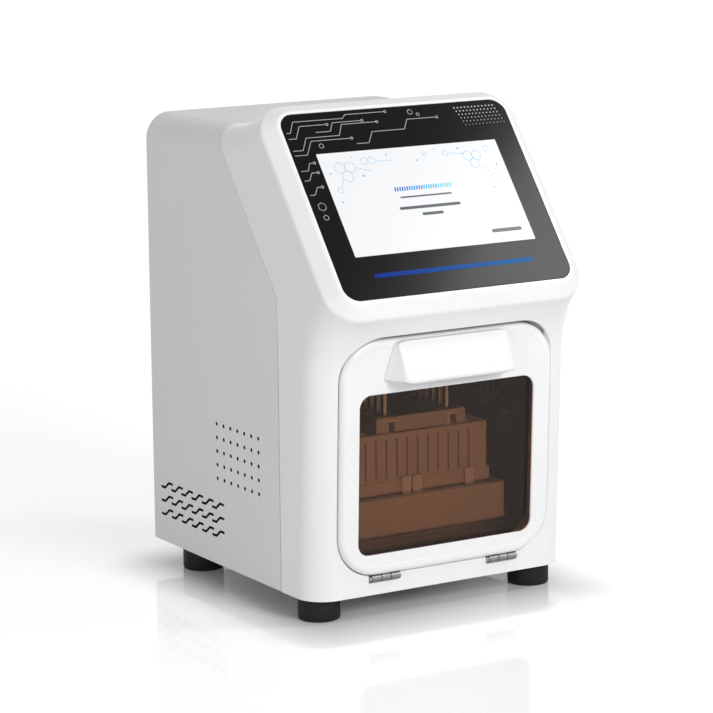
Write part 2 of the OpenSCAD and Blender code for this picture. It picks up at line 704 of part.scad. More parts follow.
tray_rail_l = 166;
tray_rail_w = 12;
tray_rail_in = 22;                 // from the tray's front and rear edges
tray_rail_slot = 2;                // depth of the slots in the rails' sides
module tray_rails() color("#a9adb1") {
    hl = tray_rail_l / 2;
    hw = tray_rail_w / 2;
    for (y = [tray_y0 + tray_rail_in, tray_y1 - tray_rail_in]) placed() {
        difference() {
            box(-hl, hl, y - hw, y + hw, chamber_floor_z, tray_z - 0.3);
            for (s = [-1, 1]) box(-hl - 1, hl + 1, s < 0 ? y - hw - 1 : y + hw - tray_rail_slot,
                s < 0 ? y - hw + tray_rail_slot : y + hw + 1, tray_z - 8, tray_z - 4);
        }
    }
}

module plate_tray() color("#9a6d52") {
    x0 = plate_x - tray_w / 2;
    x1 = plate_x + tray_w / 2;
    difference() {
        placed() translate([plate_x, (tray_y0 + tray_y1) / 2, tray_z]) linear_extrude(tray_h)
            rounded(tray_w, tray_y1 - tray_y0, 3);
        // seat of the plate and of the heater block
        placed() box(plate_x - plate_l / 2 - 0.2, plate_x + plate_l / 2 + 0.2, plate_back - 0.2,
            plate_back + plate_w + 0.2, tray_top - 10, tray_top + 1);
        // hollow underside
        placed() box(x0 + 3, x1 - 3, tray_y0 + 3, tray_y1 - 3, tray_z - 1, tray_top - 12);
    }
}

module heater_block() color("#c3c6c9") {
    placed() box(plate_x - plate_l / 2 + 3, plate_x + plate_l / 2 - 3, plate_back + 3, plate_back + plate_w - 3,
        tray_top - 10, plate_z);
}

// spring clips that hold the plate on the tray's front edge
clip_w = 7.4;
clip_t = 1;
clip_h = 13;                       // from the tray to the tip
clip_gap = 0.4;                    // between a clip and the plate
clip_foot = 4.5;                   // foot's reach in front of the plate
clip_lip = 1.2;                    // thickness and reach of the lip
module plate_clips() color("#c58a5f") {
    y1 = plate_back - clip_gap;
    for (x = [-16, -6.6, 39]) placed() {
        x0 = x - clip_w / 2;
        x1 = x + clip_w / 2;
        box(x0, x1, plate_back - clip_foot, y1, tray_top, tray_top + clip_t);
        box(x0, x1, y1 - clip_t, y1, tray_top + clip_t, tray_top + clip_h);
        box(x0, x1, y1 - clip_t - clip_lip, y1 - clip_t, tray_top + clip_h - clip_lip, tray_top + clip_h);
    }
}

plate_top = plate_z + plate_h;
first_col = (plate_l - 11 * well_pitch) / 2;
first_row = (plate_w - 7 * well_pitch) / 2;
rib_gap = 1.4;                     // grooves between the wells: width,
rib_depth = 2;                     // depth,
rib_foot = 2;                      // and distance from the skirt
rib_head = 4;                      // and from the top edge
module deep_well_plate() color("#e8d9c8") {
    difference() {
        placed() union() {
            translate([plate_x, plate_back + plate_w / 2, plate_z]) linear_extrude(9) rounded(plate_l, plate_w, 3);
            translate([plate_x, plate_back + plate_w / 2, plate_z + 9]) linear_extrude(plate_h - 9)
                rounded(plate_l - 3, plate_w - 3, 3);
        }
        for (i = [0:11], j = [0:7]) placed()
            translate([plate_x - plate_l / 2 + first_col + i * well_pitch, plate_back + first_row + j * well_pitch,
                plate_z + well_floor_t]) linear_extrude(plate_h) square(well_w, center = true);
        // grooves between the wells, down the long sides
        for (i = [0:10], s = [0, 1]) placed()
            translate([plate_x - plate_l / 2 + first_col + (i + 0.5) * well_pitch, plate_back + s * plate_w,
                plate_z + 9 + rib_foot]) linear_extrude(plate_h - 9 - rib_foot - rib_head)
                    square([rib_gap, 2 * rib_depth + 3], center = true);
    }
}

// ---------------------------------------------------------------- comb holder and combs
row_y0 = plate_back + first_row;   // front row of rods
rows = 8;
group_x = 3 * well_pitch;          // the two groups stand over columns 4 and 10
holder_z = plate_top + comb_clearance;
holder_y0 = row_y0 - 8;
holder_y1 = row_y0 + (rows - 1) * well_pitch + 8;
strip_z = holder_z + holder_h - 4;
strip_t = 2;
strip_w = 11;
carriage_y = bulkhead_back - 17;   // front face of the carriage plate
carriage_t = 4;

module comb_holder() color("#b07e5c") {
    difference() {
        placed() box(-holder_w / 2, holder_w / 2, holder_y0, carriage_y, holder_z, holder_z + holder_h);
        for (s = [-1, 1]) placed() {
            box(s * group_x - strip_w / 2 - 0.2, s * group_x + strip_w / 2 + 0.2, holder_y0 - 1, holder_y1,
                strip_z - 0.1, strip_z + strip_t + 0.2);
            box(s * group_x - sleeve_d / 2 - 0.4, s * group_x + sleeve_d / 2 + 0.4, holder_y0 - 1, holder_y1,
                holder_z - 1, strip_z + 1);
            box(s * group_x - sleeve_d / 2, s * group_x + sleeve_d / 2, holder_y0 + 3, holder_y1 - 2,
                strip_z, holder_z + holder_h + 1);
        }
        // middle of the holder is open
        placed() box(-group_x + 10, group_x - 10, holder_y0 + 4, holder_y1 - 4, holder_z - 1, holder_z + holder_h + 1);
    }
}

module tip_comb(s) color("#e6e1da") placed() translate([s * group_x, 0, 0]) difference() {
    union() {
        translate([0, (holder_y0 + holder_y1) / 2 - 0.6, strip_z]) linear_extrude(strip_t)
            square([strip_w, holder_y1 - holder_y0 - 1.6], center = true);
        for (i = [0:rows - 1]) translate([0, row_y0 + i * well_pitch, 0]) {
            rod_z(sleeve_d, strip_z - sleeve_l + 2, strip_z);
            translate([0, 0, strip_z - sleeve_l]) cylinder(d1 = sleeve_d - 3, d2 = sleeve_d, h = 2);
        }
    }
    for (i = [0:rows - 1]) translate([0, row_y0 + i * well_pitch, 0])
        rod_z(sleeve_d - 2 * sleeve_t, strip_z - sleeve_l + 2.5, strip_z + strip_t + 1);
}
module tip_comb_left() { tip_comb(-1); }
module tip_comb_right() { tip_comb(1); }

// ---------------------------------------------------------------- head lift
lift = 44;                         // travel of the head above its lowest place
screw_x = 34;
screw_y = bulkhead_back - 7;
head_rail_w = 12;
head_rail_z = 60;
block_z = 152;
block_h = 45;
head_rail_top = block_z + block_h + lift + 20;
block_w = 27;
bracket_w = 44;
mast_w = 2 * (screw_x - bracket_w / 2) - 1;     // passes beside the motor's bracket
mast_top = 290;
wide_top = 215;

module head_carriage() color("#a8abaf") {
    placed() {
        translate([0, carriage_y + carriage_t, 0]) rotate([90, 0, 0]) linear_extrude(carriage_t) polygon([
            [-42, holder_z], [42, holder_z], [42, wide_top], [mast_w / 2, wide_top], [mast_w / 2, mast_top],
            [-44, mast_top], [-44, mast_top - 4], [-mast_w / 2, mast_top - 30], [-mast_w / 2, wide_top], [-42, wide_top]]);
        // shelf for the rod drive
        difference() {
            box(rod_screw_x - rod_motor_w / 2, rod_screw_x + rod_motor_w / 2, rod_screw_y - rod_motor_w / 2, carriage_y,
                rod_motor_z - 3, rod_motor_z);
            translate([rod_screw_x, rod_screw_y, 0]) rod_z(12, rod_motor_z - 4, rod_motor_z + 1);
        }
    }
}

module head_rail() color("#c9ccd0") {
    placed() difference() {
        box(-head_rail_w / 2, head_rail_w / 2, bulkhead_back - 8, bulkhead_back, head_rail_z, head_rail_top);
        for (s = [-1, 1]) box(s < 0 ? -7 : 4.6, s < 0 ? -4.6 : 7, bulkhead_back - 5, bulkhead_back - 3,
            head_rail_z - 1, head_rail_top + 1);
    }
}

module head_rail_block() color("#7d8186") {
    placed() difference() {
        box(-block_w / 2, block_w / 2, carriage_y + carriage_t, bulkhead_back - 3, block_z, block_z + block_h);
        box(-head_rail_w / 2 - clear, head_rail_w / 2 + clear, bulkhead_back - 8 - clear, bulkhead_back,
            block_z - 1, block_z + block_h + 1);
    }
}

screw_low = 96;
screw_high = 286;
module head_lead_screw() color("#d2d5d8") {
    placed() translate([screw_x, screw_y, 0]) rod_z(screw_d, screw_low, screw_high);
}

nut_z = 160;
module head_screw_nut() color("#b08d3c") {
    placed() difference() {
        union() {
            box(screw_x - 7, screw_x + 7, carriage_y + carriage_t, screw_y + 5, nut_z, nut_z + 14);
            translate([screw_x, screw_y, 0]) rod_z(11.4, nut_z - 4, nut_z + 18);
        }
        translate([screw_x, screw_y, 0]) rod_z(screw_d + 2 * clear, nut_z - 5, nut_z + 19);
    }
}

motor_z = 306;
module head_coupling() color("#5c6064") {
    placed() translate([screw_x, screw_y, 0]) difference() {
        rod_z(18, screw_high - 8, screw_high + 12);
        rod_z(screw_d, screw_high - 9, screw_high);
        rod_z(5, screw_high, screw_high + 13);
    }
}

module motor_bracket() color("#8f9296") {
    placed() difference() {
        union() {
            box(screw_x - bracket_w / 2, screw_x + bracket_w / 2, bulkhead_back - 30, bulkhead_back + 16,
                motor_z - 3, motor_z);
            box(screw_x - bracket_w / 2, screw_x + bracket_w / 2, bulkhead_back + bulkhead_t,
                bulkhead_back + bulkhead_t + 3, motor_z - 43, motor_z - 3);
        }
        translate([screw_x, screw_y, 0]) rod_z(22.4, motor_z - 4, motor_z + 1);
        box(screw_x - 12, screw_x + 12, bulkhead_back, bulkhead_back + 10, motor_z - 44, motor_z - 3.5);
    }
    // lower bearing of the lead screw, on the bulkhead
    placed() difference() {
        box(screw_x - 9, screw_x + 9, screw_y - 8, bulkhead_back, screw_low + 2, screw_low + 10);
        translate([screw_x, screw_y, 0]) rod_z(screw_d + 2 * clear, screw_low, screw_low + 12);
    }
}

module head_motor() color("#2b2d30") {
    placed() translate([screw_x, screw_y, 0]) {
        difference() {
            translate([0, 0, motor_z]) linear_extrude(38) rounded(42, 42, 4);
            rod_z(5.2, motor_z - 1, motor_z + 3);
        }
        translate([0, 0, motor_z - 2]) difference() { cylinder(d = 22, h = 2); translate([0, 0, -1]) cylinder(d = 6, h = 4); }
    }
}

// ---------------------------------------------------------------- rod drive
insert = 40;                       // travel of the rods into their sleeves
rod_tip_z = strip_z - 3;
rod_plate_z = rod_tip_z + rod_l;
rod_rail_w = 9;
rod_screw_x = -30;
rod_motor_w = 28;
rod_screw_y = carriage_y - rod_motor_w / 2 - 1;
rod_motor_z = 262;
rod_carriage_y = carriage_y - 17;
rod_screw_low = rod_plate_z - 22;
rod_block_z = rod_plate_z + 8;
rod_block_h = 30;

module rod_plate() color("#8d7a6c") {
    placed() difference() {
        box(-36, 36, row_y0 - 6, rod_carriage_y, rod_plate_z, rod_plate_z + rod_plate_t);
        for (s = [-1, 1], i = [0:rows - 1]) translate([s * group_x, row_y0 + i * well_pitch, 0])
            rod_z(rod_d, rod_plate_z - 1, rod_plate_z + 6);
        // notch that lets the drive screw pass
        translate([rod_screw_x, rod_screw_y, 0]) rod_z(rod_screw_d + 4, rod_plate_z - 1, rod_plate_z + rod_plate_t + 1);
    }
}

module magnetic_rods() color("#b3b0ac") {
    for (s = [-1, 1], i = [0:rows - 1]) placed() translate([s * group_x, row_y0 + i * well_pitch, 0]) {
        rod_z(rod_d, rod_tip_z + 1.2, rod_plate_z + 6);
        translate([0, 0, rod_tip_z]) cylinder(d1 = rod_d - 2, d2 = rod_d, h = 1.2);
    }
}

module rod_carriage() color("#a8abaf") {
    placed() difference() {
        union() {
            box(-24, 24, rod_carriage_y, rod_carriage_y + 4, rod_plate_z, rod_plate_z + 50);
            box(rod_screw_x - 8, rod_screw_x + 8, rod_screw_y - 7, rod_screw_y + 7, rod_plate_z + 30, rod_plate_z + 38);
        }
        translate([rod_screw_x, rod_screw_y, 0]) rod_z(rod_screw_d + 2 * clear, rod_plate_z, rod_plate_z + 60);
    }
}

module rod_rail() color("#c9ccd0") {
    placed() box(-rod_rail_w / 2, rod_rail_w / 2, carriage_y - 6.5, carriage_y,
        rod_block_z - insert - 6, rod_block_z + rod_block_h + 10);
}

module rod_rail_block() color("#7d8186") {
    placed() difference() {
        box(-10, 10, rod_carriage_y + 4, carriage_y - 2, rod_block_z, rod_block_z + rod_block_h);
        box(-rod_rail_w / 2 - clear, rod_rail_w / 2 + clear, carriage_y - 6.5 - clear, carriage_y,
            rod_block_z - 1, rod_block_z + rod_block_h + 1);
    }
}

module rod_drive_motor() color("#2b2d30") {
    placed() translate([rod_screw_x, rod_screw_y, rod_motor_z]) linear_extrude(30)
        rounded(rod_motor_w, rod_motor_w, 3);
}

module rod_drive_screw() color("#d2d5d8") {
    placed() translate([rod_screw_x, rod_screw_y, 0]) rod_z(rod_screw_d, rod_screw_low, rod_motor_z - clear);
}

// ---------------------------------------------------------------- lamp and electronics
lamp_x = -chamber_w / 2 + 13;
lamp_z = 182;
lamp_d = 12;
lamp_y0 = 38;
lamp_l = 80;
lamp_holder = [22, 8, 18];
module uv_lamp() color("#dfe6ee") {
    placed() translate([lamp_x, 0, lamp_z]) {
        rod_y(lamp_d, lamp_y0, lamp_y0 + lamp_l);
        for (y = [lamp_y0 - lamp_holder.y, lamp_y0 + lamp_l])
            translate([-13, y, -lamp_holder.z / 2]) cube(lamp_holder);
    }
}

supply_x = -foot_x + 8;             // clear of the rear foot's stem
supply_y = bulkhead_back + 16;
supply = [150, 74, 40];
supply_slot_w = 4;
supply_slot_pitch = 9;
module power_supply() color("#c4c7ca") {
    z0 = base_z + sheet_t;
    placed() difference() {
        box(supply_x, supply_x + supply.x, supply_y, supply_y + supply.y, z0, z0 + supply.z);
        for (i = [0:9]) let (x = supply_x + 10 + i * supply_slot_pitch)
            box(x, x + supply_slot_w, supply_y + 12, supply_y + supply.y - 12, z0 + supply.z - 1.5, z0 + supply.z + 1);
    }
}

stand_off = 6;
board_y = bulkhead_back + bulkhead_t + stand_off;
board_t = 1.6;
board_w = 90;
board_h = 120;
board_x = -84;
board_z = 110;
board_hole = 5;                    // stand-offs' distance from the edges
module control_board() color("#1f5c3a") {
    y1 = board_y + board_t;
    placed() {
        box(board_x, board_x + board_w, board_y, y1, board_z, board_z + board_h);
        for (x = [board_hole, board_w - board_hole], z = [board_hole, board_h - board_hole])
            translate([board_x + x, 0, board_z + z]) rod_y(5, board_y - stand_off, board_y);
        translate([board_x, 0, board_z]) {
            for (i = [0:5]) box(6 + i * 13, 16 + i * 13, y1, y1 + 7.4, 8, 16);
            box(24, 44, y1, y1 + 2.4, 50, 70);
            box(54, 72, y1, y1 + 12.4, 80, 104);
        }
    }
}

// ---------------------------------------------------------------- fan
fan_y1 = panel_y - 0.2;
fan_y0 = fan_y1 - fan_t;
hub_d = 32;
fan_bore = fan_w - 4;
fan_hole_in = 4.5;                 // screw holes' distance from the frame's edges
fan_hole_d = 4.3;
module fan_at() { placed() translate([fan_x, 0, fan_z]) children(); }

module fan_frame() color("#1d1e20") {
    fan_at() difference() {
        upright(fan_w, fan_w, 6, fan_y0, fan_y1);
        rod_y(fan_bore, fan_y0 + 3, fan_y1 + 1);
        // the motor seat stays in front, carried by four spokes
        difference() {
            rod_y(fan_bore, fan_y0 - 1, fan_y0 + 3.5);
            rod_y(hub_d, fan_y0 - 2, fan_y0 + 3);
            for (a = [45, 135]) rotate([0, a, 0]) box(-fan_w / 2, fan_w / 2, fan_y0 - 2, fan_y0 + 3, -2, 2);
        }
        for (sx = [-1, 1], sz = [-1, 1])
            translate([sx * (fan_w / 2 - fan_hole_in), 0, sz * (fan_w / 2 - fan_hole_in)])
                rod_y(fan_hole_d, fan_y0 - 1, fan_y1 + 1);
    }
    // spindle
    fan_at() rod_y(3, fan_y0 + 3, fan_y0 + 12);
}

blades = 7;
blade_turn = 38;
blade_chord = 18;
blade_t = 1.8;
module fan_rotor() color("#26272a") {
    fan_at() {
        difference() {
            rod_y(hub_d - 1, fan_y0 + 3.6, fan_y1 - 2);
            rod_y(3.6, fan_y0 + 3, fan_y0 + 12.6);
        }
        for (k = [0:blades - 1]) rotate([0, k * 360 / blades, 0]) translate([hub_d / 2 - 1.5, fan_y0 + 13, 0])
            rotate([blade_turn, 0, 0]) translate([0, -blade_chord / 2, -blade_t / 2])
                cube([fan_w / 2 - 4 - hub_d / 2 - 0.5, blade_chord, blade_t]);
    }
}

module fan_guard() color("#c8cacc") {
    wire = 1.6;
    lug_r = 50;
    y1 = cabinet_d + guard_t;
    fan_at() difference() {
        union() {
            for (r = [12, 21, 30, 38]) difference() {
                rod_y(2 * r + wire, y1 - wire, y1);
                rod_y(2 * r - wire, y1 - 2 * wire, y1 + 1);
            }
            for (a = [45, 135, 225, 315]) rotate([0, a, 0]) {
                box(12, lug_r - 2, y1 - 1.8 * wire, y1 - 0.9 * wire, -wire / 2, wire / 2);
                translate([lug_r, 0, 0]) rod_y(7, cabinet_d, y1 - wire / 2);
            }
        }
        for (a = [45, 135, 225, 315]) rotate([0, a, 0]) translate([lug_r, 0, 0])
            rod_y(fan_hole_d, cabinet_d - 1, cabinet_d + 10);
    }
}

// ---------------------------------------------------------------- inlet, switch and port
inlet_flange = [50, 24];
inlet_body = [28, 20];
inlet_mouth = [24, 16];
inlet_depth = 22;
inlet_hole_x = 20;
inlet_hole_d = 3.4;
module mains_inlet() color("#19191a") {
    placed() translate([inlet_x, 0, inlet_z]) {
        difference() {
            union() {
                upright(inlet_flange.x, inlet_flange.y, 3, cabinet_d, cabinet_d + 2.4);
                upright(inlet_body.x, inlet_body.y, 2, cabinet_d - inlet_depth, cabinet_d + 0.1);
            }
            upright(inlet_mouth.x, inlet_mouth.y, 3, cabinet_d - 16, cabinet_d + 10);
            for (s = [-1, 1]) translate([s * inlet_hole_x, 0, 0])
                rod_y(inlet_hole_d, cabinet_d - 1, cabinet_d + 5);
        }
        for (p = [[-7, -1.5], [0, 2], [7, -1.5]])
            box(p[0] - 1, p[0] + 1, cabinet_d - 16.5, cabinet_d - 3, p[1] - 2, p[1] + 2);
    }
}

switch_x = inlet_x + 44;
switch_w = 13;
switch_h = 19;
rocker_y = cabinet_d - 2.5;        // rocking axis
module switch_frame() color("#19191a") {
    placed() translate([switch_x, 0, inlet_z]) difference() {
        union() {
            upright(switch_w + 3, switch_h + 3, 1.5, cabinet_d, cabinet_d + 1.6);
            upright(switch_w, switch_h, 0.5, cabinet_d - 16, cabinet_d + 0.1);
        }
        upright(switch_w - 3, switch_h - 3, 0.5, cabinet_d - 9, cabinet_d + 5);
        translate([0, rocker_y, 0]) rod_x(2.2, -switch_w / 2 + 0.4, switch_w / 2 - 0.4);
    }
}

module switch_rocker() color("#101011") {
    hw = switch_w / 2 - 1.5 - clear;
    hh = switch_h / 2 - 2.4;
    placed() translate([switch_x, rocker_y, inlet_z]) {
        translate([-hw, 0, 0]) rotate([90, 0, 90]) linear_extrude(2 * hw)
            polygon([[-2.4, -2.6], [-2.4, 2.6], [2.2, hh], [4.6, hh], [3.2, 0], [4.6, -hh], [2.2, -hh]]);
        rod_x(1.8, -switch_w / 2 + 0.7, switch_w / 2 - 0.7);
    }
}

usb_x = switch_x + 26;
module usb_port() color("#aeb2b6") {
    placed() translate([usb_x, 0, inlet_z]) difference() {
        upright(14, 7, 0.5, cabinet_d - 15, cabinet_d + 0.3);
        upright(12.4, 5.4, 0.3, cabinet_d - 12, cabinet_d + 1);
    }
    // contact tongue
    placed() translate([usb_x, 0, inlet_z]) box(-5.6, 5.6, cabinet_d - 12.2, cabinet_d - 1, 0.2, 2);
}

panel_screw_at = [for (sx = [-1, 1], z = [base_z + 14, base_z + case_h * 0.4, case_top - 40]) [sx * (case_hw - 12), z]];
module panel_screws() color("#caccce") {
    for (p = panel_screw_at) placed() translate([p[0], 0, p[1]]) {
        difference() {
            rod_y(6, cabinet_d, cabinet_d + 1.8);
            rod_y(3, cabinet_d + 0.8, cabinet_d + 3);
        }
        rod_y(3, panel_y - 4, cabinet_d);
    }
}

// ---------------------------------------------------------------- output
rear_casing();
back_panel();
base_plate();
front_fascia();
screen_glass();
display_panel();
status_light();
display_board();
door_frame();
door_window();
door_handle();
door_seal();
door_magnets();
catch_plates();
hinge_left_fixed_leaf();
hinge_right_fixed_leaf();
hinge_left_door_leaf();
hinge_right_door_leaf();
hinge_left_pin();
hinge_right_pin();
foot_front_left();
foot_front_right();
foot_rear_left();
foot_rear_right();
chamber_liner();
bulkhead();
tray_rails();
plate_tray();
heater_block();
plate_clips();
deep_well_plate();
comb_holder();
tip_comb_left();
tip_comb_right();
head_carriage();
head_rail();
head_rail_block();
head_lead_screw();
head_screw_nut();
head_motor();
head_coupling();
motor_bracket();
rod_plate();
magnetic_rods();
rod_carriage();
rod_rail();
rod_rail_block();
rod_drive_motor();
rod_drive_screw();
uv_lamp();
power_supply();
control_board();
fan_frame();
fan_rotor();
fan_guard();
mains_inlet();
switch_frame();
switch_rocker();
usb_port();
panel_screws();
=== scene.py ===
"""Finished surfaces, stage and camera for the nucleic acid extractor."""
import json
import math

import bmesh
import bpy
import numpy as np
from bpy.props import FloatProperty, FloatVectorProperty, PointerProperty
from mathutils import Matrix, Vector

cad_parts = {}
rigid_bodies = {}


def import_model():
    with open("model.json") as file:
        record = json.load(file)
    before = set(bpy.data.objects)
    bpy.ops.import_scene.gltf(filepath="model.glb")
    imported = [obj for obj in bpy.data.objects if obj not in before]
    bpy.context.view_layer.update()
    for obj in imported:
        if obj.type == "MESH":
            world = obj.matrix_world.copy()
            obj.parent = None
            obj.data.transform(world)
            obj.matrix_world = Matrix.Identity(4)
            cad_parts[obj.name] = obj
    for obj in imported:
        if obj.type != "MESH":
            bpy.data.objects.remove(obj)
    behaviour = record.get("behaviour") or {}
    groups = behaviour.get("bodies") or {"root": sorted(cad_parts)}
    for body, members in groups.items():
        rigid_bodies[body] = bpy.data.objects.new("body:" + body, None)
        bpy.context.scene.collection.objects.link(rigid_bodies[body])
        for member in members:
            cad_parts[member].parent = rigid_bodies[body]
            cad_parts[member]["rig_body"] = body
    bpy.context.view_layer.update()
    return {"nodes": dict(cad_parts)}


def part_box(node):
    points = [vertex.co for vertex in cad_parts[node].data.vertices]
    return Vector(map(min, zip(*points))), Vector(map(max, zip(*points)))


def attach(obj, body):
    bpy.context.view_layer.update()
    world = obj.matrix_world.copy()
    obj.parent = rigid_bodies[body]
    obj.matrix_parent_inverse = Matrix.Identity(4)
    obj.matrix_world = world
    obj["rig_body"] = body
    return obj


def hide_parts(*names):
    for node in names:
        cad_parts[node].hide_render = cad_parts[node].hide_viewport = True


bl_info = {
    "name": "Nucleic acid extractor",
    "version": (1, 0, 0),
    "blender": (4, 5, 0),
    "location": "View3D > Sidebar > Extractor",
    "description": "Finished surfaces, stage and camera for the bench-top nucleic acid extractor",
    "category": "Object",
}

MM = 0.001
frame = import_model()
CASING_LOW, CASING_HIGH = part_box("rear_casing")
BASE_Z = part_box("base_plate")[0].z
ARC_STEPS = 20
SIDE_T = np.linspace(0, 1, 26)[1:-1]    # stations up each side of the screen housing
CASE_HW = (CASING_HIGH.x - CASING_LOW.x) / 2
CASE_R = 20 * MM                        # round top edges of the casing
FASCIA_IN = 0.5 * MM                    # fascia's side, set in from the casing's
PRINT_T = 0.04 * MM                     # thickness of a printed layer


def length(name, text, value):
    """A length property whose default is given in millimetres."""
    return FloatProperty(name=name, description=text, default=value * MM, unit="LENGTH")


def angle(name, text, value):
    """An angle property whose default is given in degrees."""
    return FloatProperty(name=name, description=text, default=math.radians(value), subtype="ANGLE")


def colour(name, text, value):
    """A colour property, linear red, green and blue."""
    return FloatVectorProperty(name=name, description=text, default=value, subtype="COLOR", min=0, max=1)


class ExtractorSizes(bpy.types.PropertyGroup):
    """Sizes of the surfaces that the operators make."""

    cabinet_d: length("Cabinet depth", "From the foot of the fascia to the back panel", 239.5)
    lean: angle("Lean", "Forward lean of the front face", 2.25)
    tilt: angle("Screen tilt", "Tilt of the screen away from upright", 38)
    screen_z: length("Screen height", "Height of the screen's centre above the bench", 301.1)
    screen_back: length("Screen set-back", "Screen centre behind the foot of the fascia", 19.2)
    glass_w: length("Glass width", "Width of the cover glass", 193.4)
    glass_h: length("Glass height", "Height of the cover glass along its slope", 154.8)
    glass_r: length("Glass corner", "Corner radius of the cover glass", 12)
    glass_t: length("Glass thickness", "Thickness of the cover glass", 2)
    strip: length("Glass surround", "Flat strip between the glass and the chamfer", 3)
    rim_w: length("Rim width", "Width over the outer rim of the screen housing", 220)
    rim_h: length("Rim height", "Height over the outer rim along the slope", 180)
    rim_r: length("Rim corner", "Corner radius of the rim", 26)
    rim_back: length("Rim depth", "Rim's distance behind the glass", 8.3)
    display_w: length("Display width", "Width of the lit area", 154.08)
    display_h: length("Display height", "Height of the lit area", 85.92)
    fascia_r: length("Fascia corner", "Radius of the upright front edges", 22)
    fascia_d: length("Fascia depth", "Depth of the fascia at its foot", 44.5)
    housing_d: length("Housing depth", "From the glass back to the slanted joint", 60.9)
    wall: length("Fascia wall", "Thickness of the fascia's wall", 3)
    door_w: length("Door width", "Width of the door", 181.3)
    door_h: length("Door height", "Height of the door", 175.7)
    door_r: length("Door corner", "Corner radius of the door", 32)
    door_t: length("Door thickness", "Thickness of the door frame", 12)
    door_low: length("Door place", "Door's lower edge above the fascia's foot", 14.5)
    door_proud: length("Door stand-out", "How far the door stands proud", 3.3)
    door_gap: length("Door gap", "Gap between the door and its recess", 0.6)
    lip_r: length("Recess lip", "Rounding of the door recess's edge", 1.4)
    window_w: length("Window width", "Width of the window opening", 150)
    window_h: length("Window height", "Height of the window opening", 118.7)
    window_r: length("Window corner", "Corner radius of the window", 9.5)
    window_low: length("Window sill", "Frame height under the window", 15.7)
    handle_h: length("Handle height", "Height of the handle", 29)
    handle_out: length("Handle reach", "How far its lower edge stands out", 19)
    hinge_x: length("Hinge place", "Sideways distance of each hinge", 51)
    hinge_len: length("Hinge length", "Length of each hinge barrel", 24)
    camera_lens: length("Lens", "Focal length of the camera", 154.7)


class ExtractorColours(bpy.types.PropertyGroup):
    """Colours of the finishes."""

    fascia: colour("Fascia", "Gloss white moulding", (0.86, 0.86, 0.862))
    casing: colour("Casing", "Light paint on the sheet metal", (0.81, 0.81, 0.812))
    glass: colour("Glass border", "Black print behind the cover glass", (0.004, 0.004, 0.0045))
    pane: colour("Door pane", "Amber tint of the door pane", (0.74, 0.60, 0.50))
    rubber: colour("Rubber", "Black rubber of the feet", (0.012, 0.012, 0.013))
    light_left: colour("Light bar, left", "Blue at the bar's left end", (0.003, 0.022, 0.22))
    light_right: colour("Light bar, right", "Blue at the bar's right end", (0.0, 0.105, 0.34))


def sizes():
    """The scene's size settings, in metres and radians."""
    return bpy.context.scene.extractor_sizes


def colours():
    """The scene's colour settings."""
    return bpy.context.scene.extractor_colours


# ------------------------ places
def foot_y():
    """Y of the foot of the fascia in the row's frame."""
    return CASING_HIGH.y - sizes().cabinet_d


def on_front(points):
    """Turns (x, out, up) on the leaning front face into the row's frame: a turn about the foot."""
    p = np.asarray(points, float)
    c, s = math.cos(sizes().lean), math.sin(sizes().lean)
    y = foot_y() - p[..., 1] * c - p[..., 2] * s
    return np.stack([p[..., 0], y, BASE_Z - p[..., 1] * s + p[..., 2] * c], -1)


def on_screen(points):
    """Turns (x, up the slope, out of the glass) into the row's frame: a turn about the screen's centre."""
    p = np.asarray(points, float)
    c, s = math.cos(sizes().tilt), math.sin(sizes().tilt)
    y = foot_y() + sizes().screen_back + p[..., 1] * s - p[..., 2] * c
    return np.stack([p[..., 0], y, sizes().screen_z + p[..., 1] * c + p[..., 2] * s], -1)


# ------------------------ outlines and meshes
def arc(centre, r, start, end, n=ARC_STEPS):
    """Points of a circular arc: the centre plus r times cosine and sine of evenly spaced angles."""
    a = np.radians(np.linspace(start, end, n + 1))
    return np.stack([centre[0] + r * np.cos(a), centre[1] + r * np.sin(a)], 1)


def rounded(w, h, r, grow=0):
    """Closed rounded rectangle, grown all round: four quarter arcs, lower left first, counter-clockwise."""
    x, y, r = w / 2 - r, h / 2 - r, r + grow
    return np.concatenate([arc((-x, -y), r, 180, 270), arc((x, -y), r, 270, 360), arc((x, y), r, 0, 90),
                           arc((-x, y), r, 90, 180)])


def layer(outline, height, turned=False):
    """Adds a third coordinate to a flat outline, as the last one, or as the middle one when turned."""
    h = np.broadcast_to(height, len(outline))
    return np.stack([outline[:, 0], h, outline[:, 1]] if turned else [outline[:, 0], outline[:, 1], h], 1)


def skin_faces(rows, columns, close_rows=False):
    """Quads between neighbouring rows of a grid of points whose columns run round."""
    i = np.arange(rows if close_rows else rows - 1)
    i, j = (a.ravel() for a in np.meshgrid(i, np.arange(columns), indexing="ij"))
    k, m = (i + 1) % rows, (j + 1) % columns
    return np.stack([i * columns + j, i * columns + m, k * columns + m, k * columns + j], 1)


def linked(name, data):
    """A new object at the origin that shows the given data."""
    made = bpy.data.objects.new(name, data)
    bpy.context.scene.collection.objects.link(made)
    return made


def solid(shape, place=np.asarray, name="cutter"):
    """A closed mesh from (points, faces) and the function that takes the points into the row's frame."""
    points, faces = shape
    mesh = bpy.data.meshes.new(name)
    mesh.from_pydata(place(points).reshape(-1, 3).tolist(), [], [list(map(int, f)) for f in faces])
    tidy_mesh(mesh)
    return linked(name, mesh)


def tidy_mesh(mesh):
    """Merges doubled points and turns all faces outwards."""
    bm = bmesh.new()
    bm.from_mesh(mesh)
    bmesh.ops.remove_doubles(bm, verts=bm.verts, dist=1e-6)
    bmesh.ops.recalc_face_normals(bm, faces=bm.faces)
    bm.to_mesh(mesh)
    bm.free()


